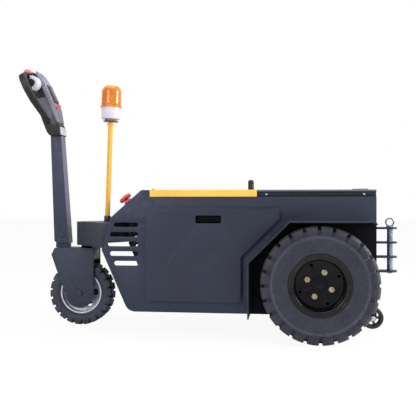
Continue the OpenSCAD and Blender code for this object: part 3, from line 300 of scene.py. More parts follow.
# Painted highlight: the arm's rear face is painted paler, standing for the sheen of light on it.
def paint_rear_face_highlight(material):
    tree, shader, across, up = opened(material)
    back = maths(tree, "ADD", across, maths(tree, "MULTIPLY", up, arm_slant))
    tinted(tree, shader, maths(tree, "GREATER_THAN", back, arm_back), arm_painted_highlight)


paint_well_shade(plate_coat)
paint_rear_face_highlight(arm_coat)
print("places tinted")

# %% [markdown]
# Smooth paint is sprayed, so it has orange peel: soft dimples a few millimetres apart.
# The mast and the lid are warm yellow, the wheel rims gloss black and the motor satin black.


# %% Sprayed paint
def sprayed_paint(name, colour, smooth, rough, peel_depth, specular=0.5):
    material, tree, shader, place = begin(name)
    fed(tree, shader, {"Specular IOR Level": specular})
    colours(tree, shader, noise(tree, place, 6, 3), shade(colour, 0.93), shade(colour, 1.05))
    gloss(tree, shader, noise(tree, place, 60, 2), smooth, rough)
    relief(tree, shader, noise(tree, place, 260, 1), 0.3, peel_depth)
    return material


yellow_paint = sprayed_paint("yellow_paint", (0.98, 0.57, 0.10), 0.32, 0.42, 0.0003, 0.35)
mast_paint = sprayed_paint("mast_paint", (0.84, 0.45, 0.07), 0.32, 0.42, 0.0003, 0.3)
rim_paint = sprayed_paint("rim_paint", (0.003, 0.003, 0.0045), 0.10, 0.2, 0.0001, 0.14)
lip_paint = sprayed_paint("rim_lip_paint", (0.003, 0.003, 0.0045), 0.05, 0.10, 0.00005, 0.26)
motor_paint = sprayed_paint("motor_paint", (0.012, 0.012, 0.014), 0.35, 0.5, 0.0003, 0.3)
print("sprayed paints ready")

# %% [markdown]
# Zinc plating and bare metal are metallic shaders. Passivated zinc has cloudy patches, some greener
# and some yellower. Cast iron is rough and dull, and a cast alloy rim lies between the two.


# %% Metals
def plated(name, cool, warm, smooth=0.28, rough=0.45):
    material, tree, shader, place = begin(name)
    fed(tree, shader, {"Metallic": 1.0})
    colours(tree, shader, noise(tree, place, 55, 5), cool, warm)
    gloss(tree, shader, noise(tree, place, 160, 4), smooth, rough)
    drawn_out = added(tree, "Mapping", {"Vector": place, "Scale": (1, 1, 0.08)})["Vector"]
    relief(tree, shader, noise(tree, drawn_out, 1400, 2), 0.12, 0.0001)
    return material


def cast_metal(name, dark, light, metallic, smooth, rough, pit_depth):
    material, tree, shader, place = begin(name)
    fed(tree, shader, {"Metallic": metallic})
    colours(tree, shader, noise(tree, place, 30, 5), dark, light)
    gloss(tree, shader, noise(tree, place, 90, 3), smooth, rough)
    relief(tree, shader, noise(tree, place, 420, 4), 0.5, pit_depth)
    return material


zinc = plated("zinc_plate", (0.40, 0.45, 0.47), (0.58, 0.60, 0.58))
pin_steel = plated("pin_steel", (0.16, 0.19, 0.25), (0.26, 0.30, 0.37), 0.25, 0.4)
green_zinc = plated("green_zinc_plate", (0.16, 0.21, 0.19), (0.27, 0.30, 0.27), 0.38, 0.55)
gold_zinc = plated("gold_zinc_plate", (0.24, 0.19, 0.14), (0.38, 0.32, 0.25), 0.3, 0.48)
cast_iron = cast_metal("cast_iron", (0.10, 0.10, 0.10), (0.18, 0.18, 0.17), 0.6, 0.55, 0.75, 0.0006)
alloy = cast_metal("cast_alloy", (0.42, 0.43, 0.50), (0.60, 0.61, 0.70), 0.8, 0.3, 0.45, 0.0002)
print("metals ready")

# %% [markdown]
# Tyre rubber is a dark grey that is never quite black, with pale dust in its pores. The drive tyres carry a
# painted highlight: a pale bluish ring on the ribs of their walls, with darker and paler rings beside it, so their
# colour also follows the distance from the axle. Handle rubber is softer and darker. Moulded plastic has an even,
# spark-eroded grain.


# %% Rubber and plastic
def rubber(name, colour, dust, rough, grain_scale, specular=0.5):
    material, tree, shader, place = begin(name)
    fed(tree, shader, {"Specular IOR Level": specular})
    colours(tree, shader, noise(tree, place, 14, 5), shade(colour, 0.82), shade(colour, 1.15))
    tinted(tree, shader, mapped(tree, noise(tree, place, 75, 6), 0.56, 0.95), (*dust, 1))
    gloss(tree, shader, noise(tree, place, 40, 3), rough - 0.1, rough + 0.1)
    relief(tree, shader, noise(tree, place, grain_scale, 4), 0.3, 0.0004)
    return material


def moulded_plastic(name, colour, smooth, rough, grain_depth=0.0002):
    material, tree, shader, place = begin(name)
    colours(tree, shader, noise(tree, place, 9, 3), shade(colour, 0.93), shade(colour, 1.07))
    gloss(tree, shader, noise(tree, place, 110, 2), smooth, rough)
    relief(tree, shader, noise(tree, place, 1600, 2), 0.3, grain_depth)
    return material


def ring_tinted(material, centre, stops):
    """Tints a tyre by the distance from its axle: (radius, colour) stops of one ramp multiply the base."""
    tree = material.node_tree
    inner, outer = stops[0][0], stops[-1][0]
    flat = added(tree, "Mapping", {"Vector": added(tree, "TexCoord")["Object"],
                                   "Location": (-centre[0], 0, -centre[1]), "Scale": (1, 0, 1)})["Vector"]
    reach = added(tree, "VectorMath", {0: flat}, operation="LENGTH")["Value"]
    rings = ramped(tree, mapped(tree, reach, inner, outer),
                   [((radius - inner) / (outer - inner), colour) for radius, colour in stops])
    tinted(tree, tree.nodes["Principled BSDF"], 1.0, rings, "MULTIPLY")


tyre_rubber = rubber("tyre_rubber", (0.038, 0.040, 0.060), (0.09, 0.09, 0.11), 0.62, 380, 0.35)
drive_tyre_rubber = rubber(
    "drive_tyre_rubber", (0.036, 0.037, 0.052), (0.08, 0.076, 0.086), 0.62, 380, 0.3)
# Painted highlight: the pale bluish stops near 0.184 to 0.190 m light the wall's rib; the other stops darken the
# wall and pale the tread's edge.
ring_tinted(drive_tyre_rubber, (axle_x, rear_radius), [
    (0.120, (0.62, 0.64, 0.72)), (0.176, (0.66, 0.68, 0.76)), (0.184, (1.2, 1.25, 1.4)),
    (0.190, (1.1, 1.15, 1.25)), (0.194, (0.50, 0.50, 0.56)), (0.208, (0.72, 0.70, 0.72)),
    (0.231, (1.15, 1.1, 1.02))])
roller_rubber = rubber("roller_rubber", (0.02, 0.02, 0.024), (0.06, 0.06, 0.065), 0.55, 500)
grip_rubber = rubber("grip_rubber", (0.0105, 0.0105, 0.015), (0.03, 0.03, 0.038), 0.5, 900, 0.3)
black_plastic = moulded_plastic("black_plastic", (0.022, 0.022, 0.028), 0.38, 0.5)
grey_plastic = moulded_plastic("grey_plastic", (0.18, 0.18, 0.245), 0.35, 0.48)
web_plastic = moulded_plastic("web_plastic", (0.045, 0.045, 0.058), 0.45, 0.6)
rib_plastic = moulded_plastic("rib_plastic", (0.15, 0.15, 0.20), 0.35, 0.5)
silver_plastic = moulded_plastic("silver_plastic", (0.62, 0.62, 0.72), 0.25, 0.35, 0.0001)
white_plastic = moulded_plastic("white_plastic", (0.58, 0.56, 0.64), 0.22, 0.32, 0.0001)
red_plastic = moulded_plastic("red_plastic", (0.72, 0.045, 0.05), 0.2, 0.32, 0.0001)
coral_plastic = moulded_plastic("coral_plastic", (0.86, 0.13, 0.15), 0.3, 0.42, 0.0001)
battery_case = moulded_plastic("battery_case", (0.03, 0.031, 0.035), 0.45, 0.6)
display_glass = moulded_plastic("display_window", (0.012, 0.012, 0.016), 0.06, 0.12, 0.00005)
print("rubber and plastic ready")

# %% [markdown]
# The beacon's dome and the ribbed lens inside it are clear amber plastic, so light passes through them and is
# bent. The lamp inside is a pale tube with a faint painted glow that stands for its bright reflection. The floor
# is plain paint, and a light veil over it, for the camera alone, makes it nearly as white as the studio behind.


# %% Lens, lamp and floor
amber_lens, tree, shader, place = begin("amber_lens")
colours(tree, shader, noise(tree, place, 25, 2), (1.0, 0.47, 0.035), (1.0, 0.56, 0.06))
gloss(tree, shader, noise(tree, place, 80, 2), 0.05, 0.12)
fed(tree, shader, {"Transmission Weight": 0.82, "IOR": 1.45})

lamp_glass, tree, shader, place = begin("lamp_glass")
colours(tree, shader, noise(tree, place, 90, 3), (0.90, 0.62, 0.22), (1.0, 0.82, 0.45))
gloss(tree, shader, noise(tree, place, 60, 2), 0.1, 0.2)
# The faint emission is a painted glow that stands for the tube's bright reflection.
fed(tree, shader, {"Emission Color": (1.0, 0.65, 0.2, 1), "Emission Strength": 0.35})

floor_veil = 0.93
floor_paint, tree, shader, place = begin("floor_paint")
colours(tree, shader, noise(tree, place, 2, 2), (0.86, 0.86, 0.87), (0.9, 0.9, 0.9))
fed(tree, shader, {"Roughness": 0.7, "Specular IOR Level": 0.15})
veil = maths(tree, "MULTIPLY", added(tree, "LightPath")["Is Camera Ray"], floor_veil)
glow = added(tree, "Emission")["Emission"]
veiled = added(tree, "MixShader", {0: veil, 1: shader.outputs["BSDF"], 2: glow})
fed(tree, tree.nodes["Material Output"], {"Surface": veiled["Shader"]})
floor.data.materials.append(floor_paint)
print("materials", len(bpy.data.materials))

# %% [markdown]
# Two ways of modelling are used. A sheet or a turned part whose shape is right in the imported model
# is copied, merged into clean faces and given soft edges, because real edges are never knife sharp
# and it is the soft edge that catches the light. Anything with more shape is modelled new:
# an outline is laid out, then extruded or spun, bevelled and smoothed.


# %% Selecting and finishing helpers
def deselect():
    bpy.ops.object.select_all(action="DESELECT")


def pick(piece):
    """Makes the piece the only selected object, and the active one."""
    deselect()
    piece.select_set(True)
    bpy.context.view_layer.objects.active = piece


def apply_modifier(piece, kind, **settings):
    """Adds a modifier with the given settings and applies it."""
    pick(piece)
    bpy.ops.object.modifier_add(type=kind)
    modifier = piece.modifiers[-1]
    for name, value in settings.items():
        setattr(modifier, name, value)
    bpy.ops.object.modifier_apply(modifier=modifier.name)


merge_distance = 0.00002
flat_angle = radians(0.6)


def clean(piece, dissolve=True):
    """Merges doubles, joins faces that lie in one plane and points the faces outwards."""
    pick(piece)
    bpy.ops.object.mode_set(mode="EDIT")
    bpy.ops.mesh.select_all(action="SELECT")
    bpy.ops.mesh.remove_doubles(threshold=merge_distance)
    if dissolve:
        bpy.ops.mesh.dissolve_limited(angle_limit=flat_angle)
    bpy.ops.mesh.normals_make_consistent(inside=False)
    bpy.ops.object.mode_set(mode="OBJECT")


def cut(piece, cutter):
    """Takes the cutter's shape out of the piece and removes the cutter."""
    apply_modifier(piece, "BOOLEAN", operation="DIFFERENCE", object=cutter, solver="EXACT")
    bpy.data.objects.remove(cutter)


def cylinder(radius, depth, place, corners=24, turn=(0, 0, 0)):
    deselect()
    bpy.ops.mesh.primitive_cylinder_add(
        vertices=corners, radius=radius, depth=depth, location=place, rotation=turn)
    return bpy.context.object


def smooth(piece, angle=35):
    pick(piece)
    bpy.ops.object.shade_smooth_by_angle(angle=radians(angle))


def soften(piece, width, segments=2, angle=32):
    """Rounds the sharp edges by a bevel."""
    apply_modifier(
        piece, "BEVEL", width=width, segments=segments, limit_method="ANGLE",
        angle_limit=radians(angle), miter_outer="MITER_ARC", use_clamp_overlap=True,
    )


def cast(piece, material):
    piece.data.materials.clear()
    piece.data.materials.append(material)


def paint_where(piece, material, wanted):
    """Gives the faces whose centre passes the test a finish of their own."""
    piece.data.materials.append(material)
    for face in piece.data.polygons:
        if wanted(face.center):
            face.material_index = len(piece.data.materials) - 1


def settle(piece, material, body, node=None):
    """Gives a finished piece its material and its body, and lets it stand for its node."""
    cast(piece, material)
    smooth(piece)
    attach(piece, body)
    if node:
        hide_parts(*([node] if isinstance(node, str) else node))
    return piece


def settle_as(piece, material, node):
    """A new piece that takes the place and the body of one node."""
    return settle(piece, material, body_of_node[node], node)


def copy_of(node, name):
    """A clean copy of a node's mesh as a new piece."""
    piece = bpy.data.objects.new(name, nodes[node].data.copy())
    bpy.context.scene.collection.objects.link(piece)
    clean(piece)
    return piece


def dress(node, material, width=0.0008, segments=2):
    """A copy of the node with soft edges, in its place."""
    piece = copy_of(node, node + "_finished")
    if width:
        soften(piece, width, segments)
    return settle_as(piece, material, node)


def faces(*pieces):
    """The pieces' names and their numbers of faces, for printing."""
    return ", ".join(f"{piece.name} {len(piece.data.polygons)} faces" for piece in pieces)


print("finishing helpers ready")

# %% [markdown]
# An outline starts as a circle with one corner for each point. The corners are put on their
# points, and the face between them can then be extruded to a plate or spun to a wheel.


# %% Outline helpers
def outline(name, points, filled=True):
    """A flat ring of corners through the given 3-D points, filled with one face or left open."""
    deselect()
    bpy.ops.mesh.primitive_circle_add(vertices=len(points), fill_type="NGON" if filled else "NOTHING")
    piece = bpy.context.object
    piece.name = name
    for corner, point in zip(piece.data.vertices, points):
        corner.co = point
    return piece


def extruded(name, points, along):
    """A solid plate: the outline, extruded along a vector."""
    piece = outline(name, points)
    bpy.ops.object.mode_set(mode="EDIT")
    bpy.ops.mesh.select_all(action="SELECT")
    bpy.ops.mesh.extrude_region_move(TRANSFORM_OT_translate={"value": tuple(along)})
    bpy.ops.object.mode_set(mode="OBJECT")
    clean(piece, dissolve=False)
    return piece


def spun(name, points, centre, axis, steps, angle=2 * pi):
    """A turned solid: a closed outline spun about an axis, a full turn or part of one."""
    whole = angle > 2 * pi - 0.001
    piece = outline(name, points, filled=not whole)
    bpy.ops.object.mode_set(mode="EDIT")
    bpy.ops.mesh.select_all(action="SELECT")
    bpy.ops.mesh.spin(steps=steps, angle=angle, center=tuple(centre), axis=tuple(axis))
    bpy.ops.object.mode_set(mode="OBJECT")
    clean(piece, dissolve=False)
    return piece


def moved_copy(piece, name, matrix):
    """A copy with its own mesh, moved by the matrix; a mirrored copy is turned right side out."""
    copy = bpy.data.objects.new(name, piece.data.copy())
    bpy.context.scene.collection.objects.link(copy)
    copy.data.transform(matrix)
    if matrix.determinant() < 0:
        copy.data.flip_normals()
    return copy


def joined(pieces, name):
    """The pieces as one object."""
    deselect()
    for piece in pieces:
        piece.select_set(True)
    bpy.context.view_layer.objects.active = pieces[0]
    bpy.ops.object.join()
    pieces[0].name = name
    return pieces[0]


def around(centre, axis, angle):
    """The matrix of a turn about a line."""
    return Matrix.Translation(centre) @ Matrix.Rotation(angle, 4, axis) @ Matrix.Translation(-Vector(centre))


def mirrored():
    """The matrix that swaps the tug's left and right."""
    return Matrix.Scale(-1, 4, (0, 1, 0))


across_axis = Vector((0, 1, 0))
print("outline helpers ready")

# %% [markdown]
# The tyres are solid industrial ones. A lathe-like spin makes the carcass, with its bead, its
# raised rings and the band between the lugs. One lug is modelled as an outline spun through part of
# a pitch, bevelled, and copied round both shoulders, half a pitch out of step from side to side.


# %% Tyre parts
def ring_points(profile, centre):
    """Profile points (radius, sideways offset) in the plane above the wheel's centre."""
    return [Vector((centre.x, centre.y + side, centre.z + radius)) for radius, side in profile]


def both_sides(half):
    """A profile from one half: the mirrored points (radius, sideways offset), then the points themselves."""
    return [(radius, -side) for radius, side in half] + [
        (radius, side) for radius, side in reversed(half) if side]


def wheel_centre(node, side):
    """The middle of a rear wheel's piece, on the wheel's axle."""
    hub = Vector(joints[f"rear_wheel_{side}_spin"]["pos_m"])
    low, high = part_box(f"{node}_{side}")
    return Vector((hub.x, (low.y + high.y) / 2, hub.z))


def tyre(name, centre, carcass, lug, lugs, gap_share, phase, steps):
    """A carcass of revolution and two rows of lugs, as one piece."""
    body = spun(name + "_carcass", ring_points(carcass, centre), centre, across_axis, steps)
    pitch = 2 * pi / lugs
    block = spun(name + "_lug", ring_points(lug, centre), centre, across_axis, 3, pitch * (1 - gap_share))
    soften(block, 0.0022, 2, 25)
    rows = []
    for side, row_phase in ((1, phase), (-1, phase + 0.5)):
        flip = Matrix.Identity(4)
        if side < 0:
            flip = Matrix.Translation((0, 2 * centre.y, 0)) @ mirrored()
        for index in range(lugs):
            turn = around(centre, across_axis, pitch * (index + row_phase))
            rows.append(moved_copy(block, f"{name}_lug_{index}", turn @ flip))
    bpy.data.objects.remove(block)
    return joined([body, *rows], name)


sides = (("left", -1), ("right", 1))
rear_half = 0.064
bead = 0.1243
rear_carcass = both_sides([
    (0.1018, 0.0518), (bead, 0.0518), (bead, 0.0558), (0.130, 0.0592), (0.145, 0.0612), (0.165, 0.0618),
    (0.170, 0.0632), (0.175, 0.0632), (0.1775, 0.0620), (0.181, 0.0620), (0.1835, 0.0637), (0.190, 0.0637),
    (0.196, 0.060), (0.212, 0.053), (0.2165, 0.040), (0.2165, 0.012), (0.228, 0.009), (0.2295, 0.0),
])
rear_lug = [
    (0.186, 0.060), (0.189, 0.0637), (0.200, rear_half), (0.216, 0.0625), (0.225, 0.057), (0.2296, 0.048),
    (rear_radius, 0.030), (rear_radius, 0.006), (0.212, 0.004), (0.208, 0.040), (0.200, 0.052),
]
rear_lugs = 24
rear_gap = 0.24
rear_phase = 0.34
rear_steps = 120
for side, outward in sides:
    centre = wheel_centre("rear_tyre", side)
    piece = tyre(f"rear_tyre_{side}_finished", centre, rear_carcass, rear_lug, rear_lugs, rear_gap,
                 rear_phase, rear_steps)
    settle_as(piece, drive_tyre_rubber, f"rear_tyre_{side}")
    print(faces(piece))

# %% [markdown]
# The rear rim is a pressed and rolled dish, painted gloss black. Its outline is drawn once, as the
# half section of the sheet, and spun. The lip is rolled, a step and a groove follow it inwards, and
# the barrel falls to the disc through a soft radius. The disc has a hub hole, four studs and holes
# that lighten it.


# %% Rear rims
rim_section = [
    (0.1240, -0.0545), (0.1230, -0.0560), (0.1190, -0.0560), (0.1150, -0.0545), (0.1020, -0.0540),
    (0.0985, -0.0500), (0.0975, -0.0120), (0.0905, -0.0098), (0.0205, -0.0098), (0.0205, -0.0020),
    (0.0290, -0.0020), (0.0300, -0.0030), (0.0312, -0.0020), (0.0860, -0.0020), (0.0925, 0.0005),
    (0.0955, 0.0060), (0.0966, 0.0200), (0.0975, 0.0400), (0.0985, 0.0480), (0.1008, 0.0520),
    (0.1035, 0.0543), (0.1060, 0.0547), (0.1075, 0.0533), (0.1092, 0.0528), (0.1120, 0.0530),
    (0.1150, 0.0546), (0.1190, 0.0558), (0.1220, 0.0560), (0.1237, 0.0552), (0.1240, 0.0538),
    (0.1240, 0.0521), (0.1022, 0.0521), (0.1013, 0.0512), (0.1013, -0.0512), (0.1022, -0.0521),
    (0.1240, -0.0521),
]
stud_circle = 0.0508
stud_hole = 0.0062
light_hole = 0.006
light_circle = 0.0813
lip_from = 0.0955
nut_turn = radians(22)
drill_depth = 0.05


def drill(piece, centre, radius, circle, turn):
    """Four round holes through a disc, cut by boolean cylinders."""
    for index in range(4):
        angle = turn + index * pi / 2
        place = centre + Vector((circle * cos(angle), 0, -circle * sin(angle)))
        cut(piece, cylinder(radius, drill_depth, place, turn=(pi / 2, 0, 0)))


for side, outward in sides:
    centre = wheel_centre("rear_rim", side)
    section = [(radius, outward * offset) for radius, offset in rim_section]
    piece = spun(f"rear_rim_{side}_finished", ring_points(section, centre), centre, across_axis, 96)
    drill(piece, centre, stud_hole, stud_circle, nut_turn)
    drill(piece, centre, light_hole, light_circle, nut_turn + pi / 4)
    settle_as(piece, rim_paint, f"rear_rim_{side}")
    paint_where(piece, lip_paint, lambda place: (place - centre).xz.length > lip_from)
    print(faces(piece))

# %% [markdown]
# The wheel nuts are passivated gold. Each is a hexagon with chamfered corners, and the stud's end,
# which belongs to the half shaft, stands a little proud of it.


# %% Wheel nuts
nut_flats = 0.022
nut_height = 0.012
nut_reach = min(abs(corner.y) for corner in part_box("wheel_nuts_right"))


def outer_face(node, outward):
    """The place across the tug of a node's outermost face, on the left (-1) or the right (1)."""
    low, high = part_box(node)
    return low.y if outward < 0 else high.y


for side, outward in sides:
    hub = wheel_centre("wheel_nuts", side)
    face = outer_face(f"wheel_nuts_{side}", outward)
    nuts = []
    for index in range(4):
        angle = nut_turn + index * pi / 2
        place = Vector((hub.x + stud_circle * cos(angle), 0, hub.z - stud_circle * sin(angle)))
        radius = nut_flats / 2 / cos(pi / 6)
        hexagon = [
            place + Vector((radius * cos(corner * pi / 3), face, radius * sin(corner * pi / 3)))
            for corner in range(6)
        ]
        nut = extruded(f"nut_{side}_{index}", hexagon, (0, -outward * nut_height, 0))
        soften(nut, 0.0016, 2)
        nuts.append(nut)
    piece = joined(nuts, f"wheel_nuts_{side}_finished")
    settle_as(piece, gold_zinc, f"wheel_nuts_{side}")
    print(faces(piece))

# %% [markdown]
# The front wheel is smaller, with blockier lugs, and turns on a cast alloy rim with a pale lip.


# %% Front wheel
front_radius = 0.144
front_carcass = both_sides([
    (0.0951, 0.0319), (0.1010, 0.0319), (0.1010, 0.0345), (0.106, 0.0378), (0.114, 0.0392), (0.1165, 0.0402),
    (0.1200, 0.0402), (0.1240, 0.0380), (0.1320, 0.034), (0.1345, 0.026), (0.1345, 0.008), (0.1425, 0.006),
    (0.1430, 0.0),
])
front_lug = [
    (0.117, 0.0380), (0.119, 0.0402), (0.127, 0.0408), (0.137, 0.0395), (0.1425, 0.0350),
    (front_radius, 0.0290), (front_radius, 0.0045), (0.1335, 0.0030), (0.1310, 0.026), (0.1230, 0.034),
]
front_lugs = 22
front_gap = 0.26
front_phase = 0.2
front_steps = 96
hub = Vector(joints["front_wheel_spin"]["pos_m"])
piece = tyre("front_tyre_finished", hub, front_carcass, front_lug, front_lugs, front_gap, front_phase,
             front_steps)
settle_as(piece, tyre_rubber, "front_tyre")
print(faces(piece))

front_rim = copy_of("front_rim", "front_rim_finished")
soften(front_rim, 0.0016, 3)
settle_as(front_rim, alloy, "front_rim")
print(faces(front_rim))

# %% [markdown]
# The body is laser cut and bent sheet, so its edges only need a fine break: under a millimetre on the sheets, more
# on the thick hitch plates. The hidden pieces get the same care, because the doors come off and the lid opens. The
# half shafts are black with the ends of their studs in gold, and the back of the fork's crown is painted black as
# painted shade between its plates.


# %% Sheets and plain turned parts
sheet_edge = 0.0009
pin_edge = 0.0008
crown_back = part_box("fork")[1].x - 0.0005
crown_half = 0.050


def on_stud_end(place):
    """Whether a place on a half shaft lies on a stud, outside the wheel nuts."""
    reach = (place - Vector((axle_x, 0, rear_radius))).xz.length
    return abs(reach - stud_circle) < stud_hole and abs(place.y) > nut_reach


for node in ("floor_pan", "rear_plate", "slope_panel", "fender_left", "fender_right", "roller_bracket"):
    dress(node, coat, sheet_edge)
for node in ("side_plate_left", "side_plate_right"):
    dress(node, plate_coat, sheet_edge)
dress("hitch_bracket", coat, 0.0014)
for node, width in (("lid_hinge", 0.0004), ("hitch_bolts", 0.001), ("steering_bearings", 0.0006),
                    ("front_bearings", 0.0006), ("roller_axle", pin_edge)):
    dress(node, zinc, width)
dress("kingpin", rim_paint, pin_edge)
for node in ("axle_shaft_left", "axle_shaft_right"):
    paint_where(dress(node, rim_paint, pin_edge), gold_zinc, on_stud_end)
for node in ("tilt_pin", "front_axle"):
    dress(node, fork_coat, 0.0007)
fork = dress("fork", fork_coat, 0.003, 3)
# Painted shade: the back of the crown between the fork's plates is painted black.
paint_where(fork, rim_paint, lambda place: place.x > crown_back and abs(place.y) < crown_half)
dress("transaxle", cast_iron, 0.003, 3)
dress("mast_socket", black_plastic, 0.0012)
print("sheets dressed")

# %% [markdown]
# The doors are deep pressings: the face meets the sides in a generous radius that catches a line of
# light, the hand pull has a rolled edge, and two shallow dimples show where the sheet was tied to
# its frame. The outer edges are picked by their place and bevelled on their own.


# %% Doors
def round_edges(piece, wanted, width, segments):
    """Bevels the edges for which wanted(first corner, second corner) holds."""
    pick(piece)
    bpy.ops.object.mode_set(mode="EDIT")
    bpy.ops.mesh.select_all(action="DESELECT")
    bpy.ops.object.mode_set(mode="OBJECT")
    bpy.context.tool_settings.mesh_select_mode = (False, True, False)
    corners = piece.data.vertices
    for edge in piece.data.edges:
        edge.select = wanted(corners[edge.vertices[0]].co, corners[edge.vertices[1]].co)
    bpy.ops.object.mode_set(mode="EDIT")
    bpy.ops.mesh.bevel(offset=width, segments=segments, affect="EDGES", clamp_overlap=True)
    bpy.ops.object.mode_set(mode="OBJECT")


def dimple(piece, place, radius, depth):
    """A shallow round hollow, cut by a large sphere whose centre lies outside the face."""
    ball = (radius ** 2 + depth ** 2) / (2 * depth)
    outward = -1 if place.y < 0 else 1
    centre = place + Vector((0, outward * (ball - depth), 0))
    deselect()
    bpy.ops.mesh.primitive_uv_sphere_add(
        segments=192, ring_count=128, radius=ball, location=centre, rotation=(pi / 2, 0, 0))
    cut(piece, bpy.context.object)


door_edge = 0.0045
pull_edge = 0.0014
pull_along = 0.4735
pull_up = 0.885
pull_half = 0.0535
pull_half_height = 0.017
face_slack = 0.0001
shortest_edge = 0.0002
dimples = [(-0.587, 0.351, 0.008, 0.0010), (-0.428, 0.341, 0.014, 0.0009)]
for side, outward in sides:
    node = "door_" + side
    low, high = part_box(node)
    face = outer_face(node, outward)
    pull = Vector((low.x + (high.x - low.x) * pull_along, face, low.z + (high.z - low.z) * pull_up))
    door = copy_of(node, node + "_finished")

    def on_face(a, b):
        return abs(a.y - face) < face_slack and abs(b.y - face) < face_slack

    def by_pull(a):
        return abs(a.x - pull.x) < pull_half and abs(a.z - pull.z) < pull_half_height

    def on_rim(a, b):
        return on_face(a, b) and not by_pull(a) and (a - b).length > shortest_edge

    round_edges(door, on_rim, door_edge, 5)
    round_edges(door, lambda a, b: on_face(a, b) and by_pull(a), pull_edge, 3)
    for x, z, radius, depth in dimples:
        dimple(door, Vector((axle_x + x, face, z)), radius, depth)
    settle_as(door, door_coat, node)
    print(faces(door))

# %% [markdown]
# The deck is bent down at its two long sides; the bend is rounded and also carries a painted highlight, a pale
# coat for the line of light it catches.
# The nose shell is a folded and welded hood: its top meets the sides in a small radius.
# The yellow lid is a tray turned upside down, with its corners broken a little more than the plates.


# %% Deck, nose and lid
bend = 0.0065
bend_slack = 0.0002
deck_low, deck_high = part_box("rear_deck")
deck = copy_of("rear_deck", "rear_deck_finished")


def on_bend(a, b):
    level = min(a.z, b.z) > deck_high.z - bend_slack
    left = max(a.y, b.y) < deck_low.y + bend_slack
    right = min(a.y, b.y) > deck_high.y - bend_slack
    return level and (left or right)


def in_bend(place):
    aside = min(place.y - deck_low.y, deck_high.y - place.y)
    return deck_high.z - bend < place.z < deck_high.z - bend_slack and aside < bend


round_edges(deck, on_bend, bend, 5)
soften(deck, sheet_edge)
settle_as(deck, coat, "rear_deck")
# Painted highlight: the faces in the bend get the pale coat.
paint_where(deck, bend_highlight_coat, in_bend)
print(faces(deck))
dress("nose_shell", coat, 0.0016, 3)
dress("battery_lid", yellow_paint, 0.0011, 2)

# %% [markdown]
# The lid's knob is a black moulded grip: a straight column with a groove and a rounded top.


# %% Lid knob
low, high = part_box("lid_knob")
foot = Vector(((low.x + high.x) / 2, (low.y + high.y) / 2, low.z))
reach = (high.x - low.x) / 2
rise = high.z - low.z
knob_shares = [
    (0.0, 0.0), (0.98, 0.0), (1.0, 0.02), (1.0, 0.60), (0.95, 0.62), (0.95, 0.65), (1.0, 0.67), (1.0, 0.78),
    (0.96, 0.86), (0.86, 0.93), (0.66, 0.98), (0.36, 1.0), (0.0, 1.0),
]
section = [foot + Vector((reach * out, 0, rise * up)) for out, up in knob_shares]
knob = spun("lid_knob_finished", section, foot, (0, 0, 1), 48)
settle_as(knob, grip_rubber, "lid_knob")
print(faces(knob))

# %% [markdown]
# The pad on the deck is a zinc plate, and the deck's side screws are button heads with a round
# recess, so they read as real fasteners close up.


# %% Pad and screws
dress("deck_pad", green_zinc, 0.002, 3)

low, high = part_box("deck_screws")
screw_radius = 0.006
screw_head = 0.004
recess_radius = 0.0022
screw_xs = (low.x + screw_radius, high.x - screw_radius)
screw_z = (low.z + high.z) / 2
dome = [(0.0, 0.0), (screw_radius, 0.0), (screw_radius, 0.0008), (0.0052, 0.0026), (0.0038, 0.0037),
        (recess_radius, screw_head), (recess_radius, 0.0018), (0.0, 0.0018)]
screws = []
for side, outward in sides:
    for x in screw_xs:
        base = Vector((x, outer_face("deck_screws", outward) - outward * screw_head, screw_z))
        points = [base + Vector((radius, outward * out, 0)) for radius, out in dome]
        screws.append(spun("deck_screw", points, base, across_axis, 24))
screws = joined(screws, "deck_screws_finished")
settle_as(screws, zinc, "deck_screws")
print(faces(screws))

# %% [markdown]
# Inside, two batteries stand side by side. Each has a case, a lid a little smaller than the case, six
# filler caps and two terminals. They show when the doors are off.


# %% Batteries
def boxed(name, low, high):
    """A block between two corners."""
    foot = [Vector((x, y, low.z)) for x, y in (
        (low.x, low.y), (high.x, low.y), (high.x, high.y), (low.x, high.y))]
    return extruded(name, foot, (0, 0, high.z - low.z))


low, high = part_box("batteries")
post_height = 0.014
battery_top = high.z - post_height
battery_gap = 0.008
lid_height = 0.028
lid_inset = 0.002
caps = 6
cap_first = 0.2
cap_pitch = 0.12
cap_aside = 0.045
cap_height = 0.003
post_aside = 0.03
post_profile = [(0, 0), (0.008, 0), (0.008, 0.004), (0.0065, 0.005), (0.006, 0.013), (0.005, post_height),
                (0, post_height)]
cases = []
trims = []
for side, outward in sides:
    near_y, far_y = sorted((battery_gap * outward, outer_face("batteries", outward)))
    shoulder_z = battery_top - low.z - lid_height
    corners = [Vector((x, y, low.z)) for x, y in (
        (low.x, near_y), (high.x, near_y), (high.x, far_y), (low.x, far_y))]
    case = extruded("battery_case_body", corners, (0, 0, shoulder_z))
    soften(case, 0.004, 3)
    rim = [corner + Vector((0, 0, shoulder_z)) for corner in corners]
    middle = sum(rim, Vector()) / 4
    rim = [corner + (middle - corner).normalized() * lid_inset for corner in rim]
    lid = extruded("battery_case_lid", rim, (0, 0, lid_height))
    soften(lid, 0.003, 3)
    cases += [case, lid]
    for index in range(caps):
        cap_x = low.x + (high.x - low.x) * (cap_first + cap_pitch * index)
        cap = cylinder(0.009, cap_height, (cap_x, middle.y + cap_aside, battery_top + cap_height / 2))
        bpy.ops.object.transform_apply()
        soften(cap, 0.0008, 2)
        cases.append(cap)
    for x in (low.x + post_aside, high.x - post_aside):
        foot = Vector((x, middle.y, battery_top))
        section = [foot + Vector((out, 0, up)) for out, up in post_profile]
        trims.append(spun("battery_post", section, foot, (0, 0, 1), 24))
case = joined(cases, "batteries_finished")
settle_as(case, battery_case, "batteries")
posts = joined(trims, "battery_posts")
settle(posts, alloy, body_of_node["batteries"])
print(faces(case, posts))

